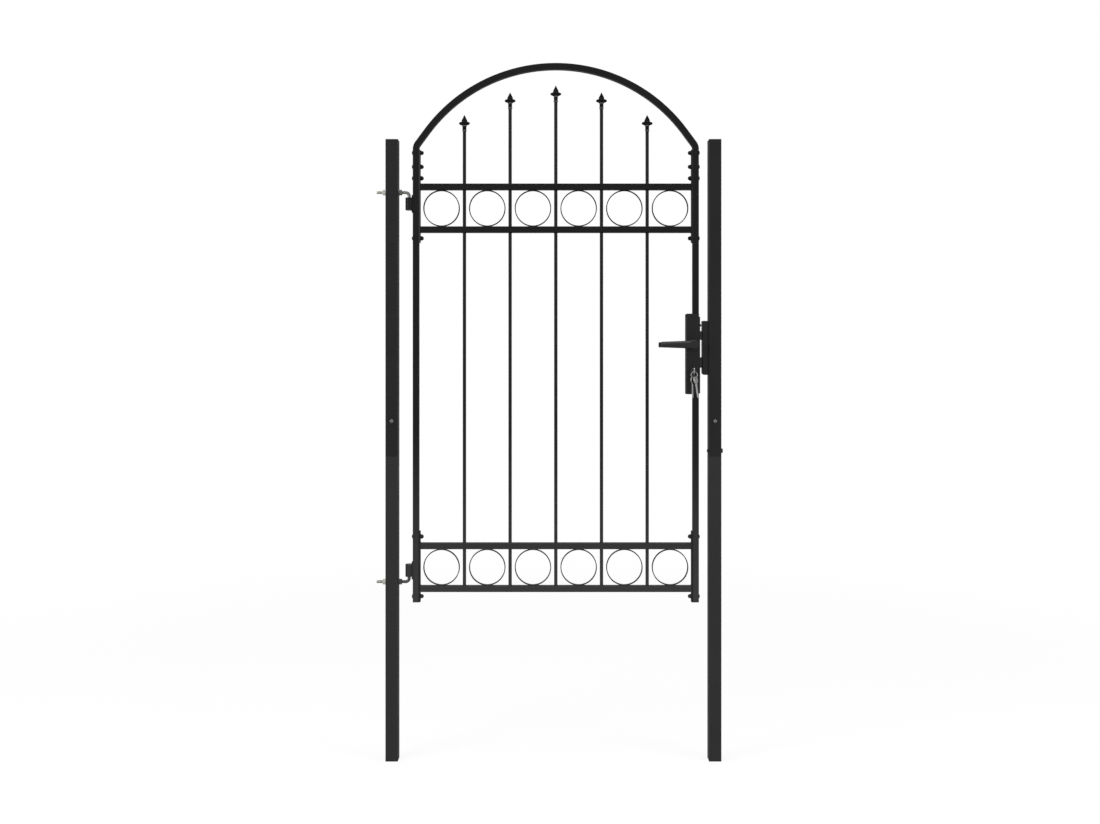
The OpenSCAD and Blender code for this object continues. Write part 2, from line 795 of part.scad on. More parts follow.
// Plate on one face of the case: side -1 is the front, 1 the rear
module handle_plate(side) {
    color(black_coat) translate([spindle_x, side * (handle_face - handle_plate_t / 2), 0])
        plate_xz(handle_plate_t) difference() {
            translate([0, spindle_z - handle_plate_drop])
                rounded_rect(handle_plate_w, handle_plate_h, handle_plate_r);
            translate([0, spindle_z]) circle(d = neck_d + 2 * neck_clear);
            translate([0, cylinder_z]) cylinder_outline(lock_fit);
        }
}

module handle_plate_front() { handle_plate(-1); }

module handle_plate_rear() { handle_plate(1); }

module key_cylinder() {
    color(zinc) translate([spindle_x, 0, cylinder_z]) plate_xz(2 * cylinder_face) cylinder_outline(0);
}

// Levers and latch

// Grip that tapers to its tip, with a facet sloped off its upper outer edge
module lever_grip() {
    tip = lever_h / 2;
    root = lever_root_h / 2;
    taper = atan((root - tip) / lever_len);
    difference() {
        translate([0, lever_reach, 0]) plate_xz(lever_t)
            polygon([[-lever_len, -tip], [0, -root], [0, root], [-lever_len, tip]]);
        translate([-lever_len, lever_outer, tip]) rotate([0, -taper, 0]) translate([-lever_h, 0, 0])
            rotate([90, 0, 90]) linear_extrude(2 * lever_len) polygon([
                [-2 * lever_facet_d, lever_facet_h], [lever_facet_d, -2 * lever_facet_h],
                [lever_facet_d, lever_facet_h]
            ]);
    }
}

// Rear lever about its spindle: neck through the handle plate, boss and grip towards the hinges
module lever() {
    neck_foot = case_d / 2 + neck_clear;
    boss_r = boss_d / 2;
    difference() {
        union() {
            rotate([-90, 0, 0]) translate([0, 0, neck_foot])
                cylinder(d = neck_d, h = lever_reach - neck_foot);
            rotate([-90, 0, 0]) rotate_extrude() polygon([
                [0, lever_inner], [boss_r, lever_inner], [boss_r, lever_outer - boss_chamfer],
                [boss_r - boss_chamfer, lever_outer], [0, lever_outer]
            ]);
            lever_grip();
        }
        translate([-spindle_w / 2 - neck_clear, 0, -spindle_w / 2 - neck_clear])
            cube([spindle_w + 2 * neck_clear, lever_inner, spindle_w + 2 * neck_clear]);
    }
}

module lever_front() {
    color(black_coat) translate([spindle_x, 0, spindle_z]) mirror([0, 1, 0]) lever();
}

module lever_rear() { color(black_coat) translate([spindle_x, 0, spindle_z]) lever(); }

module lever_spindle() {
    color(zinc) translate([spindle_x - spindle_w / 2, -lever_inner, spindle_z - spindle_w / 2])
        cube([spindle_w, 2 * lever_inner, spindle_w]);
}

// Tongue with a nose sloped on the side that meets the keep first
module latch_tongue() {
    tail_x = forend_left_x - tongue_tail;
    nose_lead = tongue_t / 2;
    color(zinc) translate([0, 0, tongue_z - tongue_h / 2]) linear_extrude(tongue_h) polygon([
        [tail_x, -tongue_t / 2], [bolt_nose_x, -tongue_t / 2], [bolt_nose_x, 0],
        [bolt_nose_x - nose_lead, tongue_t / 2], [tail_x, tongue_t / 2]
    ]);
}

// Side view of the keep, drawn in by an inset; the inner one runs on into the post's face
module keep_outline(inset) {
    left = keep_left_x + inset;
    foot = keep_top_z - keep_h + inset;
    r = keep_r - inset;
    difference() {
        translate([left, foot]) square([keep_w - inset + (inset > 0 ? over : 0), keep_h - 2 * inset]);
        difference() {
            translate([left - over, foot - over]) square(r + over);
            translate([left + r, foot + r]) circle(r);
        }
    }
}

// Folded keep on the latch post: rounded at its lower corner, slotted for both bolts
module strike_keep() {
    color(black_coat) difference() {
        plate_xz(keep_d) keep_outline(0);
        plate_xz(keep_d - 2 * keep_wall) keep_outline(keep_wall);
        bolt_cut(keep_left_x - over, keep_left_x + keep_wall + over, tongue_t + 2 * keep_slot_room,
            tongue_z, tongue_h + 2 * keep_slot_room);
        bolt_cut(keep_left_x - over, keep_left_x + keep_wall + over,
            dead_bolt_t + 2 * keep_slot_room, dead_bolt_z, dead_bolt_h + 2 * keep_slot_room);
    }
}

// Keys

// Flat key hanging from the middle of its hole at the origin, in Y and Z, with cuts along one edge
module flat_key(blade_len, cuts) {
    bow_z = bow_rim + bow_hole_d / 2 - bow_d / 2;
    edge = key_blade_h / 2;
    nose = cuts > 0 ? edge : 0;
    tip_z = bow_z - bow_d / 2 - blade_len;
    rotate([90, 0, 90]) translate([0, 0, -key_t / 2]) linear_extrude(key_t) difference() {
        union() {
            translate([0, bow_z]) circle(d = bow_d);
            polygon([
                [-edge, bow_z], [-edge, tip_z + nose], [0, tip_z], [edge, tip_z + nose / 2], [edge, bow_z]
            ]);
        }
        circle(d = bow_hole_d);
        for (i = [1 : 1 : cuts]) translate([edge, tip_z + i * key_cut_pitch])
            rotate(45) square(sqrt(2) * key_cut_depth * (1 + i % 3) / 3, center = true);
    }
}

module lock_key() {
    color(nickel) translate([spindle_x, key_hole_y, cylinder_z]) rotate([90, 0, 0])
        flat_key(key_stem, 0);
}

module key_bunch() {
    spare_x = spare_gap / 2;
    spare_z = ring_mid_z - sqrt(pow(key_ring_d / 2, 2) - pow(spare_x, 2));
    color(nickel) translate([spindle_x, key_hole_y, 0]) {
        translate([0, 0, ring_mid_z]) rotate([90, 0, 0]) rotate_extrude()
            translate([key_ring_d / 2, 0]) circle(d = key_wire_d);
        for (side = [-1, 1]) translate([side * spare_x, 0, spare_z - key_wire_d / 2])
            rotate([0, side > 0 ? -spare_lean : 0, 0]) rotate([0, 0, -90 + spare_turn])
                flat_key(spare_blade_len, floor(spare_blade_len / key_cut_pitch) - 2);
    }
}

hinge_post_lower();
hinge_post_upper();
latch_post_lower();
latch_post_upper();
post_spigots();
post_top_caps();
post_foot_caps();
seam_bolts();
cross_bolt();
hinge_bolt_upper();
hinge_bolt_lower();
hinge_nuts();
strike_keep();
hinge_stile();
latch_stile_lower();
latch_stile_upper();
stile_plugs();
arch();
hinge_barrel_upper();
hinge_barrel_lower();
top_rail();
second_rail();
third_rail();
bottom_rail();
hinge_plate_upper();
hinge_plate_lower();
latch_plate_upper();
latch_plate_lower();
bar_1();
bar_2();
bar_3();
bar_4();
bar_5();
spear_heads();
upper_rings();
lower_rings();
lock_case();
lock_forend();
dead_bolt();
handle_plate_front();
handle_plate_rear();
key_cylinder();
lock_key();
key_bunch();
lever_front();
lever_rear();
lever_spindle();
latch_tongue();
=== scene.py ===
"""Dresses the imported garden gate: finishes, fasteners, threads, welds, studio and camera."""

from __future__ import annotations

import logging
import math
from collections.abc import Callable, Iterable, Sequence
from dataclasses import asdict, dataclass, field, replace
from enum import Enum
from typing import Any

import bmesh
import bpy
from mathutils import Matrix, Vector

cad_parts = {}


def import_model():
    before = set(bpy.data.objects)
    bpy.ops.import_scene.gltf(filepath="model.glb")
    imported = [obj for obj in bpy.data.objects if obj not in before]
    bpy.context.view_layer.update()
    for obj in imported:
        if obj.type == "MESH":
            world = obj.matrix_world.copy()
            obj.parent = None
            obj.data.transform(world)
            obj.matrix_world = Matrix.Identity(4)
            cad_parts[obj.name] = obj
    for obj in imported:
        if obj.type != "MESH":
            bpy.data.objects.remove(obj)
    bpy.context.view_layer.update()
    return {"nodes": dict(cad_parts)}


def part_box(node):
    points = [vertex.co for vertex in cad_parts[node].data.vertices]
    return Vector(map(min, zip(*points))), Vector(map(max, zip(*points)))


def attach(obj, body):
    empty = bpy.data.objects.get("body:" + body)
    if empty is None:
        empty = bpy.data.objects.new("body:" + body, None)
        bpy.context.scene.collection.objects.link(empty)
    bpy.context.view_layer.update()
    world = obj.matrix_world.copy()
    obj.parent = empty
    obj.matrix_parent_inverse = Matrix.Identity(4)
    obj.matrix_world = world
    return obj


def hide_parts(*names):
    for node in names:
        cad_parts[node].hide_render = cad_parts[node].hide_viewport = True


LOG = logging.getLogger("garden_gate")
MM = 0.001
MERGE_WITHIN = 2e-6
FLAT_ANGLE = math.radians(0.6)
EDGE_ANGLE = math.radians(32)
EDGE_STEPS = 3
ROUND_SIDES = 28
FINE_SCALE = 2.3
FINE_SHARE = 0.3
BLOTCH_SHARE = 0.4
DUST_PATCH = (0.35, 0.75)
DUST_TILT = (0.35, 1.0)
TURN_SEED = 7
BEAD_SEED = 21
BAR_NAMES = tuple(f"bar_{i}" for i in range(1, 6))

Pair = tuple[float, float]
Colour = tuple[float, float, float]
Point = tuple[float, float, float]
Place = tuple[Point, Point]
Socket = bpy.types.NodeSocket
Node = bpy.types.Node
Tree = bpy.types.NodeTree
Mesh = bpy.types.Mesh
Piece = bpy.types.Object


class Body(Enum):
    """CAD bodies that pieces ride on."""

    POSTS = "posts"
    LEAF = "gate_leaf"
    LEVERS = "lever_set"
    TONGUE = "tongue"


class Slot(Enum):
    """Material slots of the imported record."""

    COAT = "black_coat"
    PLASTIC = "black_plastic"
    ZINC = "zinc_steel"
    KEYS = "nickel_keys"


def label(name: str) -> str:
    """Turn a Python name into the label of a socket or a group."""
    return name.replace("_", " ").title()


class NodeBench:
    """Places nodes in one tree and links them."""

    def __init__(self, tree: Tree) -> None:
        """Keep the tree that the nodes go into."""
        self.tree = tree

    def give(self, socket: Socket, source: Any) -> None:
        """Link an output to an input, or set the input to a value.

        Args:
            socket: The input.
            source: The output or the value.
        """
        if isinstance(source, Socket):
            self.tree.links.new(source, socket)
        else:
            socket.default_value = source

    def add(self, kind: str, inputs: dict[str, Any] | None = None, **settings: Any) -> Node:
        """Place one node.

        Args:
            kind: The node's type name.
            inputs: Input name or identifier to a value, or to the output or list of outputs that feeds it.
            **settings: The node's own options.

        Returns:
            The new node.
        """
        node = self.tree.nodes.new(kind)
        for name, value in settings.items():
            setattr(node, name, value)
        for name, value in (inputs or {}).items():
            socket = next(s for s in node.inputs if s.enabled and name in (s.name, s.identifier))
            for source in value if isinstance(value, list) else [value]:
                self.give(socket, source)
        return node

    def feed(self, kind: str, inputs: dict[str, Any] | None = None, **settings: Any) -> Socket:
        """Place one node and give its first output in use."""
        return next(s for s in self.add(kind, inputs, **settings).outputs if s.enabled)

    def maths(self, operation: str, a: Any, b: Any) -> Socket:
        """Place one sum of two values or outputs, such as ADD."""
        return self.feed("ShaderNodeMath", {"Value": a, "Value_001": b}, operation=operation)

    def times(self, a: Any, b: Any) -> Socket:
        """Multiply two values."""
        return self.maths("MULTIPLY", a, b)

    def split(self, vector: Socket) -> Any:
        """Take a vector apart into X, Y and Z."""
        return self.add("ShaderNodeSeparateXYZ", {"Vector": vector}).outputs

    def spread(self, value: Socket, ends: Pair, low: Any, high: Any, run: str = "LINEAR") -> Socket:
        """Map a value's range onto another."""
        sizes = {"From Min": ends[0], "From Max": ends[1], "To Min": low, "To Max": high}
        return self.feed("ShaderNodeMapRange", {"Value": value, **sizes}, interpolation_type=run)

    def noise(self, at: Socket, scale: Any, detail: float, rough: float) -> Socket:
        """Place one noise texture."""
        inputs = {"Vector": at, "Scale": scale, "Detail": detail, "Roughness": rough}
        return self.feed("ShaderNodeTexNoise", inputs)


class GroupBench(NodeBench):
    """Bench of a new node group with labelled inputs and outputs."""

    def __init__(self, tree: str, name: str, inputs: dict[str, str], outputs: dict[str, str]) -> None:
        """Start the group.

        Args:
            tree: Shader or Geometry.
            name: The group's name.
            inputs: Label to kind of what is set from outside.
            outputs: Label to kind of what it puts out.
        """
        super().__init__(bpy.data.node_groups.new(name, f"{tree}NodeTree"))
        for way, sockets in (("INPUT", inputs), ("OUTPUT", outputs)):
            for title, kind in sockets.items():
                self.tree.interface.new_socket(title, in_out=way, socket_type=f"NodeSocket{kind}")
        self.given = self.add("NodeGroupInput").outputs
        self.result = self.add("NodeGroupOutput").inputs

    def close(self, **outputs: Socket) -> Tree:
        """Link what the group puts out.

        Args:
            **outputs: Label of each output to what feeds it.

        Returns:
            The group's tree.
        """
        for title, source in outputs.items():
            self.give(self.result[title], source)
        return self.tree


# Shader groups that finishes share


def coat_texture() -> Tree:
    """Orange peel and slow clouding of a sprayed or moulded skin, and dust on its upper faces.

    Returns:
        The group, with Height for a bump and Cloud and Dust as masks.
    """
    made = GroupBench(
        "Shader", "Coat Texture", {"Vector": "Vector", "Peel Scale": "Float", "Dust Amount": "Float"},
        {"Height": "Float", "Cloud": "Float", "Dust": "Float"})
    at, scale = made.given["Vector"], made.given["Peel Scale"]
    peel = made.noise(at, scale, detail=2.0, rough=0.45)
    fine = made.feed("ShaderNodeTexVoronoi", {"Vector": at, "Scale": made.times(scale, FINE_SCALE)})
    height = made.maths("ADD", peel, made.times(fine, FINE_SHARE))
    cloud = made.noise(at, scale=7.0, detail=5.0, rough=0.6)
    patch = made.spread(made.noise(at, scale=60.0, detail=6.0, rough=0.65), DUST_PATCH, 0.0, 1.0)
    up = made.split(made.add("ShaderNodeNewGeometry").outputs["Normal"])["Z"]
    tilt = made.spread(up, DUST_TILT, 0.0, 1.0)
    dust = made.times(tilt, made.times(patch, made.given["Dust Amount"]))
    return made.close(Height=height, Cloud=cloud, Dust=dust)


def metal_grain() -> Tree:
    """Fine drawn lines and blotches of a plated metal.

    Returns:
        The group, with Height for a bump and Grain and Blotch as masks.
    """
    made = GroupBench(
        "Shader", "Metal Grain", {"Vector": "Vector", "Line Scale": "Float", "Blotch Scale": "Float"},
        {"Height": "Float", "Grain": "Float", "Blotch": "Float"})
    at = made.given["Vector"]
    drawn = made.feed("ShaderNodeMapping", {"Vector": at, "Scale": (0.12, 1.0, 0.6)})
    grain = made.noise(drawn, made.given["Line Scale"], detail=3.0, rough=0.6)
    blotch = made.noise(at, made.given["Blotch Scale"], detail=4.0, rough=0.5)
    height = made.maths("ADD", grain, made.times(blotch, BLOTCH_SHARE))
    return made.close(Height=height, Grain=grain, Blotch=blotch)


# Finishes


class FinishBench(NodeBench):
    """Bench of a finish's material, with its shader's inputs and the object coordinates."""

    def __init__(self, material: bpy.types.Material) -> None:
        """Start from the material's own shader.

        Args:
            material: The new material.
        """
        material.use_nodes = True
        super().__init__(material.node_tree)
        self.shader = self.tree.nodes["Principled BSDF"].inputs
        self.place = self.add("ShaderNodeTexCoord").outputs["Object"]

    def blend(self, share: Socket, low: Colour | Socket, high: Colour) -> Socket:
        """Blend two colours by the second one's share."""
        first = low if isinstance(low, Socket) else (*low, 1.0)
        return self.feed("ShaderNodeMix", {"Factor": share, "A": first, "B": (*high, 1.0)}, data_type="RGBA")

    def group(self, build: Callable[[], Tree], **values: float) -> Any:
        """Place a shared group, built at its first use.

        Args:
            build: What builds the group; its name makes the group's.
            **values: The group's inputs, with underscores for spaces.

        Returns:
            The outputs of the group's node.
        """
        tree = bpy.data.node_groups.get(label(build.__name__)) or build()
        inputs = {label(name): value for name, value in values.items()}
        return self.add("ShaderNodeGroup", {"Vector": self.place, **inputs}, node_tree=tree).outputs


@dataclass(frozen=True)
class Finish:
    """What every finish of the gate has in common."""

    name: str
    slot: Slot
    deep: Colour
    pale: Colour
    rough: Pair = (0.36, 0.52)
    bump: float = 0.12
    depth: float = 0.35 * MM
    rough_mask: Pair = (0.25, 0.75)

    def material(self) -> bpy.types.Material:
        """Give the finish as a material, made at its first use.

        Returns:
            The material.
        """
        found = bpy.data.materials.get(self.name)
        if found:
            return found
        made = bpy.data.materials.new(self.name)
        self.wire(FinishBench(made))
        made.diffuse_color = (*self.pale, 1.0)
        return made

    def wire(self, bench: FinishBench) -> None:
        """Lay the nodes that make this finish."""
        raise NotImplementedError

    def dress(self, bench: FinishBench, colour: Socket, mask: Socket, height: Socket) -> None:
        """Join colour, roughness and bump to the shader.

        Args:
            bench: Bench of this finish's material.
            colour: Output that gives the colour.
            mask: Mask between the two ends of the roughness.
            height: Output that gives the bump's height.
        """
        bump = bench.feed("ShaderNodeBump", {"Strength": self.bump, "Distance": self.depth, "Height": height})
        bench.give(bench.shader["Base Color"], colour)
        bench.give(bench.shader["Roughness"], bench.spread(mask, self.rough_mask, *self.rough))
        bench.give(bench.shader["Normal"], bump)


@dataclass(frozen=True)
class SkinFinish(Finish):
    """Sprayed coat or moulded plastic: a dark skin with orange peel, a little dust and painted light that
    makes its foot paler.
    """

    specular: float = 0.15
    peel: float = 520.0
    dust: float = 0.25
    dust_colour: Colour = (0.085, 0.080, 0.072)
    # Painted light: the paler colour that the skin fades to towards the bottom, and the heights over which it
    # fades in.
    foot_colour: Colour | None = None
    foot_heights: Pair = (0.45, 1.15)
    sheen_fade: Pair = (0.35, 0.95)

    def wire(self, bench: FinishBench) -> None:
        """Lay the skin's clouding, peel, dust and painted light on its foot, and its sheen that dies away at
        a flat glance.

        Args:
            bench: Bench of this finish's material.
        """
        coat = bench.group(coat_texture, peel_scale=self.peel, dust_amount=self.dust)
        shade = bench.blend(coat["Cloud"], self.deep, self.pale)
        # Painted light: paler towards the bottom, standing in for the extra light that the lower parts catch.
        if self.foot_colour:
            foot = bench.spread(bench.split(bench.place)["Z"], self.foot_heights, 1.0, 0.0, "SMOOTHSTEP")
            shade = bench.blend(foot, shade, self.foot_colour)
        shade = bench.blend(coat["Dust"], shade, self.dust_colour)
        self.dress(bench, shade, coat["Cloud"], coat["Height"])
        glance = bench.add("ShaderNodeLayerWeight", {"Blend": 0.5}).outputs["Facing"]
        sheen = bench.spread(glance, self.sheen_fade, self.specular, 0.0, "SMOOTHSTEP")
        for source in (self.specular, sheen):
            bench.give(bench.shader["Specular IOR Level"], source)


@dataclass(frozen=True)
class MetalFinish(Finish):
    """Bare plated metal with drawn lines and blotches, with painted shade past one place across, less so high
    up.
    """

    bump: float = 0.2
    depth: float = 0.2 * MM
    line: float = 700.0
    blotch: float = 110.0
    # Painted shade: its colour, the place across where it starts, the heights where it weakens, and its share
    # at the top.
    dull_colour: Colour | None = None
    dull_places: Pair = (-0.02, 0.02)
    dull_heights: Pair = (1.0, 1.4)
    dull_top: float = 0.8

    def wire(self, bench: FinishBench) -> None:
        """Lay the metal's grain, blotches and painted shade on one side.

        Args:
            bench: Bench of this finish's material.
        """
        metal = bench.group(metal_grain, line_scale=self.line, blotch_scale=self.blotch)
        colour = bench.blend(metal["Blotch"], self.deep, self.pale)
        # Painted shade: darker on the leaf's side, past X = 0, where the leaf shades the hinge; a little
        # weaker higher up.
        if self.dull_colour:
            spot = bench.split(bench.place)
            most = bench.spread(spot["Z"], self.dull_heights, 1.0, self.dull_top)
            painted_shade_share = bench.spread(spot["X"], self.dull_places, 0.0, most)
            colour = bench.blend(painted_shade_share, colour, self.dull_colour)
        self.dress(bench, colour, metal["Grain"], metal["Height"])
        bench.give(bench.shader["Metallic"], 1.0)


# COAT paints light on the leaf's foot: it turns paler below about a metre.
COAT = SkinFinish("black_powder_coat", Slot.COAT, (0.0022, 0.0022, 0.0024), (0.0042, 0.0042, 0.0045),
                  specular=0.12, dust=0.05, foot_colour=(0.028, 0.028, 0.0284))
SPEAR_COAT = replace(COAT, name="black_powder_coat_spear_heads", specular=0.05, dust=0.0)
POST_COAT = SkinFinish("black_powder_coat_posts_and_lock", Slot.COAT,
                       (0.0052, 0.0052, 0.0055), (0.0088, 0.0088, 0.0092))
# Painted highlight: a paler copy of the posts' coat, for the bright front edge of the upper hinge plate.
HIGHLIGHT_PLATE_COAT = replace(POST_COAT, name="black_powder_coat_hinge_plate",
                     deep=(0.022, 0.022, 0.0224), pale=(0.030, 0.030, 0.0304))
FOOT_COAT = SkinFinish("black_powder_coat_lower_posts", Slot.COAT,
                       (0.0128, 0.0128, 0.0132), (0.0188, 0.0188, 0.0192), (0.38, 0.54))
# Painted highlight: a pale coat that paints the bright bands on the spear heads' sleeve beads.
HIGHLIGHT_COAT = SkinFinish("rubbed_powder_coat", Slot.COAT, (0.050, 0.050, 0.0505), (0.075, 0.075, 0.0755),
                       (0.30, 0.46), specular=0.24, dust=0.05)
LEVER_COAT = SkinFinish("black_powder_coat_levers", Slot.COAT, (0.0130, 0.0130, 0.0134),
                        (0.0160, 0.0160, 0.0164), (0.30, 0.42), 0.08, specular=0.13, peel=620.0, dust=0.05)
PLASTIC = SkinFinish("black_moulded_plastic", Slot.PLASTIC, (0.0070, 0.0070, 0.0074),
                     (0.0110, 0.0110, 0.0115), (0.50, 0.66), 0.2, specular=0.20, peel=1400.0)
ZINC = MetalFinish("grey_zinc_plate", Slot.ZINC, (0.075, 0.075, 0.072), (0.15, 0.15, 0.145), (0.28, 0.46))
# HINGE_ZINC paints shade on the leaf's side of each hinge.
HINGE_ZINC = MetalFinish("hinge_zinc_plate", Slot.ZINC, (0.31, 0.31, 0.28), (0.47, 0.47, 0.42), (0.30, 0.48),
                         dull_colour=(0.070, 0.070, 0.070))
STEEL = MetalFinish("dull_lock_steel", Slot.ZINC, (0.034, 0.034, 0.034), (0.058, 0.058, 0.058), (0.34, 0.52),
                    line=900.0, blotch=140.0)
NICKEL = MetalFinish("nickel_plate", Slot.KEYS, (0.22, 0.22, 0.215), (0.42, 0.42, 0.41), (0.22, 0.38),
                     line=1200.0, blotch=160.0)


# Pieces and their meshes


def new_object(name: str, data: Any) -> Piece:
    """Link data into the scene as an object at the origin.

    Args:
        name: Name of the object.
        data: Its mesh, lamp or camera.

    Returns:
        The object.
    """
    made = bpy.data.objects.new(name, data)
    bpy.context.scene.collection.objects.link(made)
    return made


def settle(piece: Piece) -> Piece:
    """Turn an object's modifiers into its plain mesh.

    Args:
        piece: Object with modifiers.

    Returns:
        The same object, with the evaluated mesh and no modifier.
    """
    shown = piece.evaluated_get(bpy.context.evaluated_depsgraph_get())
    mesh = bpy.data.meshes.new_from_object(shown)
    piece.modifiers.clear()
    piece.data = mesh
    mesh.name = piece.name
    return piece


def wear(piece: Piece, finish: Finish) -> None:
    """Give a piece one finish."""
    piece.data.materials.clear()
    piece.data.materials.append(finish.material())


def seat(piece: Piece, body: Body, finish: Finish, *stands_for: str) -> None:
    """Put a piece on its body and hide the CAD nodes that it stands for.

    Args:
        piece: The finished piece.
        body: Body that it rides on.
        finish: Finish that it wears.
        *stands_for: CAD nodes that it replaces.
    """
    if finish.material().name not in piece.data.materials:
        wear(piece, finish)
    if stands_for:
        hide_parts(*stands_for)
    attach(piece, body.value)
    LOG.info("piece %s on %s: %d faces", piece.name, body.value, len(piece.data.polygons))


def meshed(shape: bmesh.types.BMesh, name: str) -> Mesh:
    """Turn a shape into a mesh and free it.

    Args:
        shape: The shape.
        name: Name of the mesh.

    Returns:
        The mesh.
    """
    mesh = bpy.data.meshes.new(name)
    shape.to_mesh(mesh)
    shape.free()
    return mesh


def softened(node: Piece, edge: float) -> Piece:
    """Copy a CAD node with its sharp edges rounded as a coat or a mould rounds them.

    Args:
        node: The CAD node.
        edge: Width of the rounding in metres.

    Returns:
        The new piece, in the node's place.
    """
    name = f"{node.name}_soft"
    shape = bmesh.new()
    shape.from_mesh(node.data)
    bmesh.ops.remove_doubles(shape, verts=shape.verts, dist=MERGE_WITHIN)
    bmesh.ops.dissolve_limit(shape, angle_limit=FLAT_ANGLE, verts=shape.verts, edges=shape.edges)
    mesh = meshed(shape, name)
    kept = mesh.attributes.get("custom_normal")
    if kept:
        mesh.attributes.remove(kept)
    mesh.materials.clear()
    mesh.shade_smooth()
    piece = new_object(name, mesh)
    bevel = piece.modifiers.new("edge", "BEVEL")
    bevel.width, bevel.segments = edge, EDGE_STEPS
    bevel.limit_method, bevel.angle_limit = "ANGLE", EDGE_ANGLE
    bevel.harden_normals = True
    return settle(piece)


def skin(shape: bmesh.types.BMesh, rows: Sequence[Sequence[Point]], smooth: bool) -> None:
    """Stretch a closed skin over rows of points.

    Args:
        shape: Mesh that the skin goes into.
        rows: Loops of points, all of one length, from end to end.
        smooth: Whether the faces are shaded as one curve.
    """
    loops = [[shape.verts.new(spot) for spot in row] for row in rows]
    made = [shape.faces.new(loops[0]), shape.faces.new(loops[-1])]
    for one, two in zip(loops, loops[1:]):
        for i in range(len(one)):
            made.append(shape.faces.new((one[i - 1], one[i], two[i], two[i - 1])))
    for face in made:
        face.smooth = smooth
    bmesh.ops.recalc_face_normals(shape, faces=made)


def turns(span: float, steps: int, start: float = 0.0) -> list[float]:
    """Angles in even steps over a span, with both ends."""
    return [start + span * i / steps for i in range(steps + 1)]


def ring_points(centre: Point, radius: float, count: int = 14) -> list[Point]:
    """Points of a level circle.

    Args:
        centre: Middle of the circle.
        radius: Its radius.
        count: How many points.

    Returns:
        The points in order.
    """
    x, y, z = centre
    around = turns(2 * math.pi, count)[:-1]
    return [(x + radius * math.cos(t), y + radius * math.sin(t), z) for t in around]


def marks(places: Iterable[Place]) -> Mesh:
    """Make seed points that carry an axis each.

    Args:
        places: Pairs of a point and the direction that a fastener stands in there.

    Returns:
        The seed mesh.
    """
    spots = list(places)
    mesh = bpy.data.meshes.new("marks")
    mesh.from_pydata([spot for spot, _ in spots], [], [])
    axis = mesh.attributes.new("axis", "FLOAT_VECTOR", "POINT")
    for item, (_, direction) in zip(axis.data, spots):
        item.vector = direction
    return mesh


def lines(paths: Iterable[Sequence[Point]], closed: bool = False, thick: Sequence[float] = ()) -> Mesh:
    """Make seed lines.

    Args:
        paths: Points of each line, in order.
        closed: Whether each line runs back to its first point.
        thick: Thickness at each point of one line, as a share of the full one.

    Returns:
        The seed mesh.
    """
    points: list[Point] = []
    edges: list[tuple[int, int]] = []
    for path in paths:
        first = len(points)
        points.extend(path)
        edges.extend((i, i + 1) for i in range(first, len(points) - 1))
        if closed:
            edges.append((len(points) - 1, first))
    mesh = bpy.data.meshes.new("lines")
    mesh.from_pydata(points, edges, [])
    if thick:
        mesh.attributes.new("thick", "FLOAT", "POINT").data.foreach_set("value", list(thick))
    return mesh


# Geometry trees for what repeats or follows a path


class GrowTree(GroupBench):
    """A geometry tree with named sizes, run on a seed mesh and turned into a plain mesh."""

    def __init__(self, name: str, *sizes: str, **others: str) -> None:
        """Start the tree.

        Args:
            name: The tree's name.
            *sizes: Labels of the sizes that it takes.
            **others: Label to kind of what else it takes.
        """
        inputs = {"Seed": "Geometry", "Finish": "Material", **dict.fromkeys(sizes, "Float"), **others}
        super().__init__("Geometry", name, inputs, {"Piece": "Geometry"})

    def end(self, shape: Socket) -> GrowTree:
        """Realize the instances, set the finish and close the tree.

        Args:
            shape: What the tree has made.

        Returns:
            The tree itself.
        """
        real = self.feed("GeometryNodeRealizeInstances", {"Geometry": shape})
        self.close(Piece=self.feed("GeometryNodeSetMaterial", {
            "Geometry": real, "Material": self.given["Finish"]}))
        return self

    def path(self) -> Socket:
        """The seed's lines as curves."""
        return self.feed("GeometryNodeMeshToCurve", {"Mesh": self.given["Seed"]})

    def smooth(self, shape: Socket) -> Socket:
        """Shade a shape as one curve."""
        return self.feed("GeometryNodeSetShadeSmooth", {"Geometry": shape})

    def on_marks(self, shape: Socket, turn_range: float = 0.0) -> Socket:
        """Stand a shape on each seed point, along the point's axis attribute.

        Args:
            shape: The shape, standing on Z.
            turn_range: Largest turn about its axis, picked with a fixed seed.

        Returns:
            The instances' output.
        """
        axis = self.feed("GeometryNodeInputNamedAttribute", {"Name": "axis"}, data_type="FLOAT_VECTOR")
        stand = self.feed("FunctionNodeAlignRotationToVector", {"Vector": axis}, axis="Z")
        placed = self.feed("GeometryNodeInstanceOnPoints", {
            "Points": self.given["Seed"], "Instance": shape, "Rotation": stand})
        turn = self.feed("FunctionNodeRandomValue", {"Min": 0.0, "Max": turn_range, "Seed": TURN_SEED})
        return self.feed("GeometryNodeRotateInstances", {
            "Instances": placed, "Rotation": self.feed("ShaderNodeCombineXYZ", {"Z": turn})})

    def grow(self, name: str, seed: Mesh, body: Body, finish: Finish, *stands_for: str, even: bool = False,
             **sizes: float | int | Piece) -> None:
        """Run the tree on a seed, keep the result as a plain mesh and seat it.

        Args:
            name: Name of the piece.
            seed: Mesh of points or lines that the tree starts from.
            body: Body that it rides on.
            finish: Finish of the piece.
            *stands_for: CAD nodes that it replaces.
            even: Whether its shading is evened over flat faces.
            **sizes: The tree's inputs, with underscores for spaces.
        """
        piece = new_object(name, seed)
        modifier = piece.modifiers.new("grow", "NODES")
        modifier.node_group = self.tree
        values: dict[str, Any] = {label(key): value for key, value in sizes.items()}
        values["Finish"] = finish.material()
        for item in self.tree.interface.items_tree:
            if item.item_type == "SOCKET" and item.in_out == "INPUT" and item.name in values:
                modifier[item.identifier] = values[item.name]
        if even:
            piece.modifiers.new("even", "WEIGHTED_NORMAL").keep_sharp = True
        seat(settle(piece), body, finish, *stands_for)


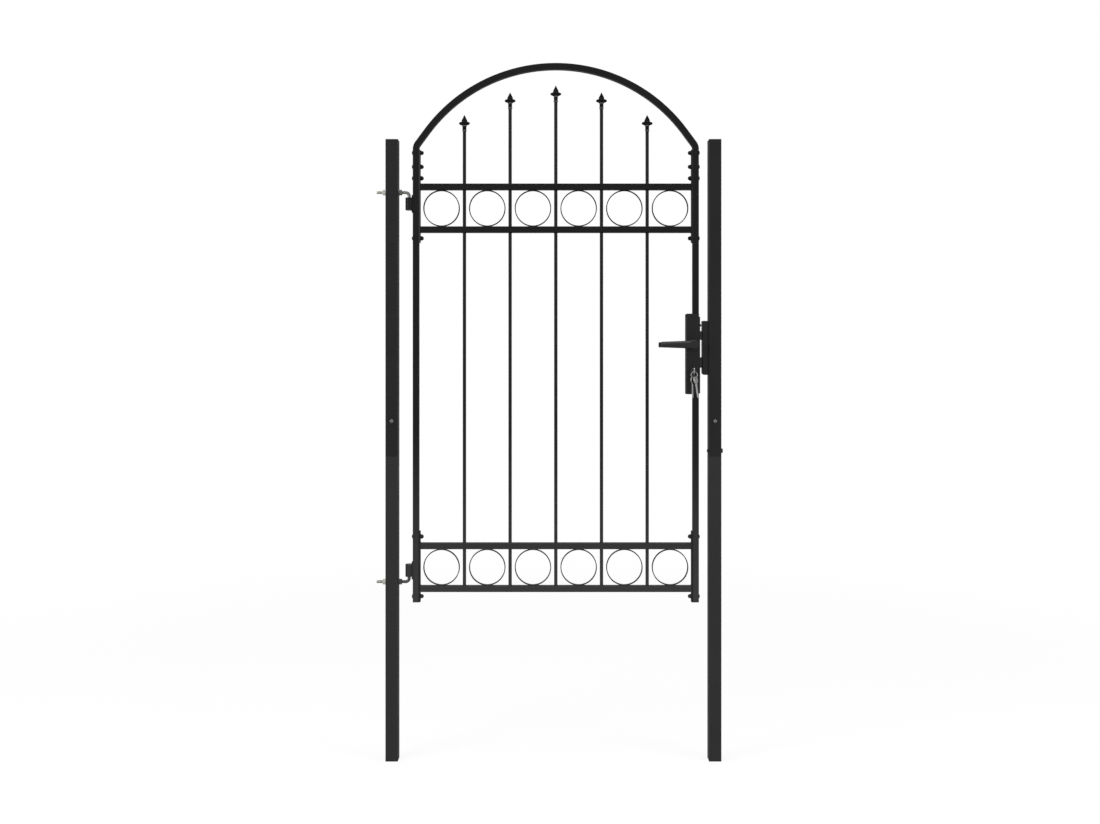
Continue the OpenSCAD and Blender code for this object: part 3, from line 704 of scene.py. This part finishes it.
def fastener_tree() -> GrowTree:
    """Bolt head or cap nut: a round flange, a many-sided body and a dome, each sunk into the one below.

    Returns:
        The tree.
    """
    made = GrowTree("Fastener", "Flange Width", "Flange Height", "Body Width", "Body Height",
                    "Dome Width", "Dome Height", Sides="Int")
    given, sink, foot, parts = made.given, 0.05 * MM, 0.0, []
    for part, sides in (("Flange", ROUND_SIDES), ("Body", given["Sides"])):
        width, height = given[f"{part} Width"], given[f"{part} Height"]
        drum = made.feed("GeometryNodeMeshCylinder", {
            "Vertices": sides, "Radius": made.times(width, 0.5), "Depth": height})
        lift = made.feed("ShaderNodeCombineXYZ", {"Z": made.maths("ADD", foot, made.times(height, 0.5))})
        parts.append(made.feed("GeometryNodeTransform", {"Geometry": drum, "Translation": lift}))
        foot = made.maths("SUBTRACT", made.maths("ADD", foot, height), sink)
    ball_r = made.times(given["Dome Width"], 0.5)
    ball = made.feed("GeometryNodeMeshUVSphere", {"Segments": 24, "Rings": 14, "Radius": ball_r})
    spot = made.split(made.feed("GeometryNodeInputPosition"))
    flatten = made.maths("DIVIDE", given["Dome Height"], ball_r)
    crown = made.times(made.maths("MAXIMUM", spot["Z"], 0.0), flatten)
    flat = made.feed("ShaderNodeCombineXYZ", {
        "X": spot["X"], "Y": spot["Y"], "Z": made.maths("ADD", crown, foot)})
    dome = made.smooth(made.feed("GeometryNodeSetPosition", {"Geometry": ball, "Position": flat}))
    joined = made.feed("GeometryNodeJoinGeometry", {"Geometry": [*parts, dome]})
    return made.end(made.on_marks(joined, turn_range=math.pi / 3))


def thread_tree() -> GrowTree:
    """Screw thread: a ridge wound round a rod from each mark.

    Returns:
        The tree.
    """
    made = GrowTree("Screw Thread", "Length", "Pitch", "Root Width", "Ridge")
    length, root = made.given["Length"], made.times(made.given["Root Width"], 0.5)
    coil = made.feed("GeometryNodeCurveSpiral", {
        "Resolution": ROUND_SIDES, "Rotations": made.maths("DIVIDE", length, made.given["Pitch"]),
        "Start Radius": root, "End Radius": root, "Height": length})
    ridge = made.feed("GeometryNodeCurvePrimitiveCircle", {"Resolution": 4, "Radius": made.given["Ridge"]})
    wound = made.feed("GeometryNodeCurveToMesh", {"Curve": coil, "Profile Curve": ridge, "Fill Caps": True})
    return made.end(made.on_marks(wound))


def copies_tree() -> GrowTree:
    """Copies of one shape, stood on each mark.

    Returns:
        The tree.
    """
    made = GrowTree("Copies", Shape="Object")
    shape = made.add("GeometryNodeObjectInfo", {"Object": made.given["Shape"]}).outputs["Geometry"]
    return made.end(made.on_marks(shape))


def weld_tree() -> GrowTree:
    """Weld: a chain of small rounded beads along each seed line.

    Returns:
        The tree.
    """
    made = GrowTree("Weld Bead", "Bead", "Step")
    steps = made.feed("GeometryNodeResampleCurve", {
        "Curve": made.path(), "Length": made.given["Step"]}, mode="LENGTH")
    drop = made.smooth(made.feed("GeometryNodeMeshIcoSphere", {
        "Radius": made.times(made.given["Bead"], 0.5), "Subdivisions": 2}))
    size = made.feed("FunctionNodeRandomValue", {"Min": 0.82, "Max": 1.08, "Seed": BEAD_SEED})
    return made.end(made.feed("GeometryNodeInstanceOnPoints", {
        "Points": steps, "Instance": drop, "Scale": size}))


def square_tube_tree() -> GrowTree:
    """Square tube with rounded corners, bent along each seed line.

    Returns:
        The tree.
    """
    made = GrowTree("Square Tube", "Side", "Corner")
    side = made.given["Side"]
    outline = made.feed("GeometryNodeCurvePrimitiveQuadrilateral", {"Width": side, "Height": side})
    outline = made.feed("GeometryNodeFilletCurve", {
        "Curve": outline, "Count": 4, "Radius": made.given["Corner"]}, mode="POLY")
    return made.end(made.smooth(made.feed("GeometryNodeCurveToMesh", {
        "Curve": made.path(), "Profile Curve": outline, "Fill Caps": True})))


def rod_tree() -> GrowTree:
    """Round rod along each seed line, thinned by the line's thick attribute.

    Returns:
        The tree.
    """
    made = GrowTree("Round Rod", "Width")
    outline = made.feed("GeometryNodeCurvePrimitiveCircle", {
        "Resolution": ROUND_SIDES, "Radius": made.times(made.given["Width"], 0.5)})
    thick = made.feed("GeometryNodeInputNamedAttribute", {"Name": "thick"}, data_type="FLOAT")
    return made.end(made.smooth(made.feed("GeometryNodeCurveToMesh", {
        "Curve": made.path(), "Profile Curve": outline, "Scale": thick, "Fill Caps": True})))


@dataclass(frozen=True)
class Head:
    """Sizes of a fastener, as the fastener tree takes them."""

    flange_width: float
    flange_height: float
    body_width: float
    body_height: float
    dome_width: float
    dome_height: float
    sides: int = 24


@dataclass
class Kit:
    """CAD nodes and the trees that every sub-assembly draws on."""

    nodes: dict[str, Piece]
    fastener: GrowTree = field(default_factory=fastener_tree)
    thread: GrowTree = field(default_factory=thread_tree)
    copies: GrowTree = field(default_factory=copies_tree)
    weld: GrowTree = field(default_factory=weld_tree)
    square_tube: GrowTree = field(default_factory=square_tube_tree)
    rod: GrowTree = field(default_factory=rod_tree)

    def soften(self, body: Body, finish: Finish, edge: float, *names: str) -> None:
        """Replace CAD nodes by copies with rounded edges."""
        for name in names:
            seat(softened(self.nodes[name], edge), body, finish, name)

    def paint(self, finish: Finish, *names: str) -> None:
        """Give CAD nodes that stay in view their finish.

        Args:
            finish: Finish to wear.
            *names: Nodes to paint.
        """
        for name in names:
            wear(self.nodes[name], finish)
            LOG.info("node %s wears %s", name, finish.name)


# Sub-assemblies


@dataclass
class Posts:
    """Two posts of two lengths each, with caps and bolts."""

    kit: Kit
    cap_edge: float = 0.8 * MM
    bolt_edge: float = 0.5 * MM

    def build(self) -> None:
        """Paint the tubes and soften the caps and bolts."""
        self.kit.paint(POST_COAT, "hinge_post_upper", "latch_post_upper", "post_spigots")
        self.kit.paint(FOOT_COAT, "hinge_post_lower", "latch_post_lower")
        self.kit.soften(Body.POSTS, PLASTIC, self.cap_edge, "post_top_caps", "post_foot_caps")
        self.kit.soften(Body.POSTS, ZINC, self.bolt_edge, "seam_bolts")
        self.kit.soften(Body.POSTS, POST_COAT, self.bolt_edge, "cross_bolt")


@dataclass
class Hinges:
    """Bent bolts with threads and nuts, and the barrels that turn on them."""

    kit: Kit
    bolts: tuple[tuple[str, int], ...] = (("hinge_bolt_upper", -1), ("hinge_bolt_lower", 1))
    rod_width: float = 10 * MM
    tip: float = 0.9 * MM
    tip_share: float = 0.82
    thread_root: float = 8.5 * MM
    thread_inset: float = 1.2 * MM
    thread_in_nut: float = 2 * MM
    inner_thread: float = 7 * MM
    root_past_nut: float = 6 * MM
    root_before_bend: float = 2 * MM
    root_end: float = 0.8 * MM
    pitch: float = 1.5 * MM
    bend_radius: float = 11 * MM
    bend_steps: int = 10
    pin_tip: float = 1.2 * MM
    pin_tip_share: float = 0.8
    barrel_edge: float = 0.8 * MM
    nut_edge: float = 0.7 * MM
    weld_bead: float = 3.0 * MM
    weld_step: float = 2.1 * MM
    weld_inset: float = 2 * MM
    weld_sink: float = 0.2 * MM

    def build(self) -> None:
        """Make both hinges."""
        for name, pin in self.bolts:
            self.bolt(name, pin)
        self.threads()
        self.kit.soften(Body.POSTS, HINGE_ZINC, self.nut_edge, "hinge_nuts")
        self.kit.soften(Body.LEAF, COAT, self.barrel_edge, "hinge_barrel_upper", "hinge_barrel_lower")
        self.welds()

    def level(self, name: str, pin: int) -> float:
        """Height of a bolt's level run; pin is -1 where the pin points down."""
        low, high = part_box(name)
        return high.z - self.rod_width / 2 if pin < 0 else low.z + self.rod_width / 2

    def bolt(self, name: str, pin: int) -> None:
        """Sweep one bent bolt, thin where it is threaded.

        Args:
            name: CAD node of the bolt.
            pin: -1 where the pin points down, 1 where it points up.
        """
        low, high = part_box(name)
        z = self.level(name, pin)
        axis_x = high.x - self.rod_width / 2
        bend_x = axis_x - self.bend_radius
        root = self.thread_root / self.rod_width
        root_x = min(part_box("hinge_nuts")[1].x + self.root_past_nut, bend_x - self.root_before_bend)
        path: list[tuple[Point, float]] = [
            ((low.x, 0, z), root * self.tip_share), ((low.x + self.tip, 0, z), root),
            ((root_x, 0, z), root), ((root_x + self.root_end, 0, z), 1.0)]
        for turn in turns(math.pi / 2, self.bend_steps):
            rise = pin * self.bend_radius * (1 - math.cos(turn))
            path.append(((bend_x + self.bend_radius * math.sin(turn), 0, z + rise), 1.0))
        end = low.z if pin < 0 else high.z
        path += [((axis_x, 0, end - pin * self.pin_tip), 1.0), ((axis_x, 0, end), self.pin_tip_share)]
        seed = lines([[spot for spot, _ in path]], thick=[share for _, share in path])
        self.kit.rod.grow(f"{name}_rod", seed, Body.POSTS, HINGE_ZINC, name, width=self.rod_width)

    def threads(self) -> None:
        """Wind the threads outside the outer nuts and inside the inner ones."""
        nut_low, nut_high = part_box("hinge_nuts")
        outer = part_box("hinge_bolt_upper")[0].x + self.thread_inset
        rows = (("outer", outer, nut_low.x - outer),
                ("inner", nut_high.x - self.thread_in_nut, self.inner_thread))
        for name, start, length in rows:
            seed = marks([((start, 0, self.level(*bolt)), (1, 0, 0)) for bolt in self.bolts])
            self.kit.thread.grow(
                f"hinge_threads_{name}", seed, Body.POSTS, HINGE_ZINC, length=length, pitch=self.pitch,
                root_width=self.thread_root, ridge=self.pitch / 2)

    def welds(self) -> None:
        """Lay beads down both sides of each pad, where it meets the stile."""
        paths = []
        for name in ("hinge_barrel_upper", "hinge_barrel_lower"):
            low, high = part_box(name)
            x, inset = high.x - self.weld_sink, self.weld_inset
            for y in (low.y + inset, high.y - inset):
                paths.append([(x, y, low.z + inset), (x, y, high.z - inset)])
        self.kit.weld.grow(
            "hinge_pad_welds", lines(paths), Body.LEAF, COAT, bead=self.weld_bead, step=self.weld_step)


@dataclass
class LeafFrame:
    """Stiles, bent arch, end plates and the bolts that clamp them."""

    kit: Kit
    tube: float = 20 * MM
    corner: float = 2 * MM
    leg: float = 84 * MM
    bend_radius: float = 30 * MM
    slope: float = math.radians(53.5)
    straight_end: float = 60 * MM
    arc_steps: int = 96
    bend_steps: int = 10
    plate_edge: float = 0.7 * MM
    plug_edge: float = 0.5 * MM
    bolt_heights: tuple[float, ...] = (1.959, 1.914, 1.877, 1.683, 0.720, 0.527)
    bolt_head: Head = Head(14 * MM, 0.8 * MM, 13 * MM, 0.5 * MM, 13 * MM, 2.6 * MM)
    cap_nut: Head = Head(16 * MM, 1.4 * MM, 14.6 * MM, 4.4 * MM, 12.6 * MM, 5.2 * MM, sides=6)
    shy: float = 0.02 * MM

    def build(self) -> None:
        """Paint the stiles and make the arch, the plates and the bolts."""
        self.kit.paint(COAT, "hinge_stile", "latch_stile_lower", "latch_stile_upper")
        self.kit.soften(Body.LEAF, PLASTIC, self.plug_edge, "stile_plugs")
        # The upper hinge plate wears the paler coat that paints its edge highlight.
        self.kit.soften(Body.LEAF, HIGHLIGHT_PLATE_COAT, self.plate_edge, "hinge_plate_upper")
        self.kit.soften(Body.LEAF, POST_COAT, self.plate_edge, "hinge_plate_lower",
                        "latch_plate_upper", "latch_plate_lower")
        self.kit.square_tube.grow(
            "arch_tube", lines([self.arch_path()]), Body.LEAF, COAT, "arch", even=True,
            side=self.tube - self.shy, corner=self.corner)
        self.fasteners()

    def arch_path(self) -> list[Point]:
        """Middle line of the arch from the hinge stile to the latch stile.

        Returns:
            Points along the line.
        """
        left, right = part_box("hinge_stile"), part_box("latch_stile_upper")
        mid_x = (left[0].x + right[1].x) / 2
        half = (right[1].x - left[0].x - self.tube) / 2
        foot_z = left[1].z
        kink_z = foot_z + self.leg
        radius = (half - self.straight_end * math.cos(self.slope)) / math.sin(self.slope)
        mid_z = kink_z + self.straight_end * math.sin(self.slope) - radius * math.cos(self.slope)
        lean = math.pi / 2 - self.slope
        bend_z = kink_z - self.bend_radius * math.tan(lean / 2)
        side: list[Pair] = [(half, foot_z)]
        for turn in turns(lean, self.bend_steps):
            inward = self.bend_radius * (1 - math.cos(turn))
            side.append((half - inward, bend_z + self.bend_radius * math.sin(turn)))
        crown = [(radius * math.cos(turn), mid_z + radius * math.sin(turn))
                 for turn in turns(2 * self.slope, self.arc_steps, lean)]
        outline = side + crown + [(-x, z) for x, z in reversed(side)]
        return [(mid_x + x, 0.0, z) for x, z in reversed(outline)]

    def fasteners(self) -> None:
        """Domed bolts from outside each stile and cap nuts inside."""
        outer_left, outer_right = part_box("hinge_stile")[0].x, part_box("latch_stile_upper")[1].x
        inner_left, inner_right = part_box("hinge_plate_upper")[1].x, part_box("latch_plate_upper")[0].x
        heads, nuts = [], []
        for z in self.bolt_heights:
            heads += [((outer_left, 0, z), (-1, 0, 0)), ((outer_right, 0, z), (1, 0, 0))]
            nuts += [((inner_left, 0, z), (1, 0, 0)), ((inner_right, 0, z), (-1, 0, 0))]
        rows = (("stile_bolt_heads", heads, self.bolt_head), ("stile_cap_nuts", nuts, self.cap_nut))
        for name, places, head in rows:
            self.kit.fastener.grow(name, marks(places), Body.LEAF, COAT, **asdict(head))


@dataclass
class Panels:
    """Four rails, the two rows of rings between them and their welds."""

    kit: Kit
    rails: tuple[str, ...] = ("top_rail", "second_rail", "third_rail", "bottom_rail")
    rings: int = 6
    ring_edge: float = 0.5 * MM
    bead: float = 2.2 * MM
    step: float = 1.9 * MM
    stand_off: float = 0.2 * MM
    tack: float = 4.5 * MM

    def build(self) -> None:
        """Paint the rails, soften the rings and lay the welds."""
        self.kit.paint(COAT, *self.rails)
        self.kit.soften(Body.LEAF, COAT, self.ring_edge, "upper_rings", "lower_rings")
        self.bar_welds()
        self.rail_welds()
        self.ring_tacks()

    def weld(self, name: str, seed: Mesh) -> None:
        """Lay beads along seed lines."""
        self.kit.weld.grow(name, seed, Body.LEAF, COAT, bead=self.bead, step=self.step)

    def bar_welds(self) -> None:
        """Beads round each bar where it passes a rail's upper and lower face."""
        loops = []
        for rail in self.rails:
            low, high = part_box(rail)
            for bar in BAR_NAMES:
                bar_low, bar_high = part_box(bar)
                x, radius = (bar_low.x + bar_high.x) / 2, (bar_high.x - bar_low.x) / 2
                for z in (high.z, low.z) if rail != "bottom_rail" else (high.z,):
                    loops.append(ring_points((x, 0, z), radius + self.stand_off))
        self.weld("bar_welds", lines(loops, closed=True))

    def rail_welds(self) -> None:
        """Beads round each rail's ends, against the end plates."""
        loops = []
        for rail in self.rails:
            low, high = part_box(rail)
            for x in (low.x, high.x):
                loops.append([(x, low.y, low.z), (x, high.y, low.z), (x, high.y, high.z), (x, low.y, high.z)])
        self.weld("rail_end_welds", lines(loops, closed=True))

    def ring_tacks(self) -> None:
        """Short beads where each ring meets the rails above and below."""
        paths = []
        for row in ("upper_rings", "lower_rings"):
            low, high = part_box(row)
            first, last = low.x + (high.z - low.z) / 2, high.x - (high.z - low.z) / 2
            for i in range(self.rings):
                x = first + (last - first) * i / (self.rings - 1)
                for z in (low.z, high.z):
                    for y in (low.y, high.y):
                        paths.append([(x - self.tack, y, z), (x + self.tack, y, z)])
        self.weld("ring_tacks", lines(paths))


@dataclass
class Bars:
    """Five round bars with carved spear heads."""

    kit: Kit
    sleeve_width: float = 12.8 * MM
    sleeve_foot: float = 0.2 * MM
    sleeve_height: float = 18.6 * MM
    sleeve_steps: int = 24
    bead_width: float = 14.6 * MM
    bead_height: float = 3 * MM
    edge: float = 0.4 * MM
    petal_reach: float = 17.3 * MM
    petal_heights: tuple[float, float, float] = (15.5 * MM, 25.5 * MM, 34.5 * MM)
    petal_tip: float = 9.5 * MM
    petal_depth: float = 7 * MM
    petal_thinning: float = 0.45
    petal_bluntness: float = 0.45
    petal_least: float = 0.2
    petal_taper: float = 0.8
    petal_steps: int = 10
    petal_sides: int = 16
    blade: tuple[tuple[float, float, float], ...] = (
        (27 * MM, 8 * MM, 3.6 * MM), (35 * MM, 9.2 * MM, 4.5 * MM), (52.9 * MM, 0.3 * MM, 0.3 * MM))

    def build(self) -> None:
        """Paint the bars and stand a head on each."""
        self.kit.paint(COAT, *BAR_NAMES)
        spots = [corner.co for corner in self.kit.nodes["spear_heads"].data.vertices]
        feet = []
        for name in BAR_NAMES:
            low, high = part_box(name)
            x = (low.x + high.x) / 2
            foot = min(spot.z for spot in spots if abs(spot.x - x) < self.petal_reach)
            feet.append(((x, 0, foot), (0, 0, 1)))
        # The sleeve beads wear the pale coat that paints their highlight.
        rows = (("spear", self.spear(), SPEAR_COAT, ["spear_heads"]), ("sleeve", self.beads(), HIGHLIGHT_COAT, []))
        for name, mesh, finish, stands_for in rows:
            model = new_object(f"{name}_model", mesh)
            self.kit.copies.grow(f"{name}_copies", marks(feet), Body.LEAF, finish, *stands_for, shape=model)
            bpy.data.objects.remove(model)

    def turned(self, shape: bmesh.types.BMesh, width: float, low: float, high: float) -> None:
        """Add a round length between two heights, with broken edges.

        Args:
            shape: Mesh that it goes into.
            width: Its width.
            low: Height of its foot.
            high: Height of its top.
        """
        full, short = width / 2, width / 2 - self.edge
        outline = ((short, low), (full, low + self.edge), (full, high - self.edge), (short, high))
        skin(shape, [ring_points((0, 0, z), r, self.sleeve_steps) for r, z in outline], True)

    def beads(self) -> Mesh:
        """Beads at the foot and the top of a sleeve.

        Returns:
            The mesh of one sleeve's beads.
        """
        shape = bmesh.new()
        for foot in (0.0, self.sleeve_height - self.bead_height):
            self.turned(shape, self.bead_width, foot, foot + self.bead_height)
        return meshed(shape, "beads")

    def petal_row(self, step: int) -> list[Point]:
        """Outline across the petals at one place along them.

        Args:
            step: Place, from minus petal_steps at one tip to petal_steps at the other.

        Returns:
            Points round the petal there.
        """
        under, tip, over = self.petal_heights
        turn = math.pi / 2 * step / self.petal_steps
        out, blunt = math.sin(turn), max(self.petal_least, math.cos(turn)) ** self.petal_bluntness
        middle = (over + under) / 2
        centre = middle + (tip - middle) * abs(out)
        full, narrow = (over - under) / 2, (self.petal_tip - over + under) / 2
        half = blunt * (full + narrow * abs(out) ** self.petal_taper)
        deep = blunt * self.petal_depth / 2 * (1 - self.petal_thinning * out ** 2)
        around = turns(2 * math.pi, self.petal_sides)[:-1]
        return [(self.petal_reach * out, deep * math.cos(t), centre + half * math.sin(t)) for t in around]

    def spear(self) -> Mesh:
        """Sleeve, two drooping petals and a ridged blade, standing on the sleeve's foot.

        Returns:
            The mesh of one head.
        """
        shape = bmesh.new()
        self.turned(shape, self.sleeve_width, self.sleeve_foot, self.sleeve_height)
        skin(shape, [self.petal_row(i) for i in range(-self.petal_steps, self.petal_steps + 1)], True)
        skin(shape, [[(w, 0, z), (0, d, z), (-w, 0, z), (0, -d, z)] for z, w, d in self.blade], False)
        return meshed(shape, "spear")


@dataclass
class Lock:
    """Lock case, front strip, bolts, handle plates, key cylinder, keys and keep."""

    kit: Kit
    case_edge: float = 0.9 * MM
    plate_edge: float = 1.0 * MM
    steel_edge: float = 0.5 * MM
    key_edge: float = 0.3 * MM
    screw_inset: float = 12 * MM
    stop_drop: float = 21 * MM
    screw: Head = Head(8 * MM, 0.4 * MM, 7.2 * MM, 0.3 * MM, 7.04 * MM, 0.6 * MM)
    stop: Head = Head(9 * MM, 0.6 * MM, 8.1 * MM, 3.6 * MM, 7.92 * MM, 1.4 * MM)
    plate_screw: Head = Head(8 * MM, 0.4 * MM, 7.2 * MM, 0.5 * MM, 7.04 * MM, 1.4 * MM)

    def build(self) -> None:
        """Soften the lock's pieces and drive its screws."""
        soften = self.kit.soften
        soften(Body.LEAF, POST_COAT, self.case_edge, "lock_case")
        soften(Body.LEAF, POST_COAT, self.plate_edge, "handle_plate_front", "handle_plate_rear")
        soften(Body.LEAF, STEEL, self.steel_edge, "lock_forend", "dead_bolt", "key_cylinder")
        soften(Body.LEAF, NICKEL, self.key_edge, "lock_key", "key_bunch")
        soften(Body.POSTS, POST_COAT, self.case_edge, "strike_keep")
        soften(Body.TONGUE, STEEL, self.steel_edge, "latch_tongue")
        self.screws()

    def screws(self) -> None:
        """Drive a low screw and a high stop screw in the front strip, and two in the rear handle plate."""
        low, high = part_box("lock_forend")
        low_screw = [((high.x, 0, low.z + self.screw_inset), (1, 0, 0))]
        stop_screw = [((high.x, 0, high.z - self.stop_drop), (1, 0, 0))]
        low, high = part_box("handle_plate_rear")
        x = (low.x + high.x) / 2
        rear = [((x, high.y, z), (0, 1, 0)) for z in (low.z + self.screw_inset, high.z - self.screw_inset)]
        rows = (("forend_screw", low_screw, STEEL, self.screw),
                ("forend_stop_screw", stop_screw, STEEL, self.stop),
                ("handle_plate_screws", rear, POST_COAT, self.plate_screw))
        for name, places, finish, head in rows:
            self.kit.fastener.grow(name, marks(places), Body.LEAF, finish, **asdict(head))


@dataclass
class Levers:
    """Two levers on one square spindle."""

    kit: Kit
    edge: float = 1.2 * MM

    def build(self) -> None:
        """Soften the levers and paint the spindle."""
        self.kit.soften(Body.LEVERS, LEVER_COAT, self.edge, "lever_front", "lever_rear")
        self.kit.paint(STEEL, "lever_spindle")


# Studio


@dataclass
class Lamp:
    """One soft lamp: where it stands, its sides, its power and what it points at."""

    name: str
    at: Point
    sides: Pair
    power: float
    towards: Point = (0.5, 0.0, 1.1)

    def light(self) -> None:
        """Hang the lamp."""
        data = bpy.data.lights.new(self.name, "AREA")
        data.shape, data.energy = "RECTANGLE", self.power
        data.size, data.size_y = self.sides
        lamp = new_object(self.name, data)
        lamp.location = self.at
        lamp.rotation_euler = (Vector(self.towards) - Vector(self.at)).to_track_quat("-Z", "Y").to_euler()


@dataclass
class Studio:
    """White room, soft lamps and the photograph's level view."""

    room_light: float = 0.5
    floor_half: float = 30.0
    floor_grey: float = 0.9
    floor_white: float = 0.88
    shadow_reach: Pair = (1.2, 4.0)
    distance: float = 3.4
    lens: float = 34.44
    sensor: float = 36.0
    eye: Pair = (0.509, 1.282)
    drop: float = -0.045
    lamps: tuple[Lamp, ...] = (
        Lamp("left_softbox", (-2.6, -2.2, 2.5), (1.6, 2.6), 90.0),
        Lamp("right_softbox", (3.6, -1.8, 2.0), (1.4, 2.6), 60.0),
        Lamp("top_softbox", (0.5, -0.4, 4.4), (2.6, 1.6), 65.0),
    )

    def build(self) -> None:
        """Set the room, the lamps and the camera."""
        bpy.context.scene.view_settings.view_transform = "Standard"
        self.room()
        self.floor()
        for lamp in self.lamps:
            lamp.light()
        self.camera()

    def bare(self, holder: bpy.types.Material | bpy.types.World) -> NodeBench:
        """Clear the nodes of a material or a world.

        Args:
            holder: The material or world.

        Returns:
            Its empty bench.
        """
        holder.use_nodes = True
        holder.node_tree.nodes.clear()
        return NodeBench(holder.node_tree)

    def shown_ray(self, bench: NodeBench) -> Socket:
        """Mask of the rays that see the white background itself.

        Args:
            bench: Bench of the world's or the floor's tree.

        Returns:
            The mask's output.
        """
        path = bench.add("ShaderNodeLightPath").outputs
        seen = bench.maths("MAXIMUM", path["Is Camera Ray"], path["Is Glossy Ray"])
        return bench.maths("MAXIMUM", seen, path["Is Transmission Ray"])

    def room(self) -> None:
        """White to look at, dimmer as a light."""
        world = bpy.data.worlds.new("white_room")
        bpy.context.scene.world = world
        bench = self.bare(world)
        light = bench.feed("ShaderNodeBackground", {"Color": (1, 1, 1, 1), "Strength": self.room_light})
        white = bench.feed("ShaderNodeBackground", {"Color": (1, 1, 1, 1), "Strength": 1.0})
        both = {"Fac": self.shown_ray(bench), "Shader": light, "Shader_001": white}
        bench.add("ShaderNodeOutputWorld", {"Surface": bench.feed("ShaderNodeMixShader", both)})

    def floor(self) -> None:
        """Pale floor that keeps a faint shadow."""
        half = self.floor_half
        mesh = bpy.data.meshes.new("floor")
        sheet = [(-half, -half, 0), (half, -half, 0), (half, half, 0), (-half, half, 0)]
        mesh.from_pydata(sheet, [], [(0, 1, 2, 3)])
        floor = new_object("floor", mesh)
        pale = bpy.data.materials.new("pale_floor")
        bench = self.bare(pale)
        lit = bench.feed("ShaderNodeBsdfDiffuse", {"Color": (*[self.floor_grey] * 3, 1)})
        white = bench.feed("ShaderNodeEmission", {"Color": (1, 1, 1, 1), "Strength": 1.0})
        spot = bench.feed("ShaderNodeMapping", {
            "Vector": bench.add("ShaderNodeTexCoord").outputs["Object"], "Location": (-self.eye[0], 0, 0)})
        away = bench.feed("ShaderNodeVectorMath", {"Vector": spot}, operation="LENGTH")
        clean = bench.spread(away, self.shadow_reach, self.floor_white, 1.0, "SMOOTHSTEP")
        both = {"Fac": bench.times(self.shown_ray(bench), clean), "Shader": lit, "Shader_001": white}
        bench.add("ShaderNodeOutputMaterial", {"Surface": bench.feed("ShaderNodeMixShader", both)})
        mesh.materials.append(pale)

    def camera(self) -> None:
        """Level camera in front of the gate, framed as the photograph is."""
        data = bpy.data.cameras.new("camera")
        data.lens, data.sensor_width = self.lens, self.sensor
        data.shift_y = self.drop
        camera = new_object("camera", data)
        camera.location = (self.eye[0], -self.distance, self.eye[1])
        camera.rotation_euler = (math.pi / 2, 0, 0)
        bpy.context.scene.camera = camera


def main() -> None:
    """Load the frame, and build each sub-assembly and the studio."""
    logging.basicConfig(level=logging.INFO, format="%(name)s: %(message)s")
    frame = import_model()
    kit = Kit(frame["nodes"])
    for part in (Posts(kit), Hinges(kit), LeafFrame(kit), Panels(kit), Bars(kit), Lock(kit), Levers(kit)):
        LOG.info("building %s", type(part).__name__)
        part.build()
    Studio().build()


if __name__ == "__main__":
    main()
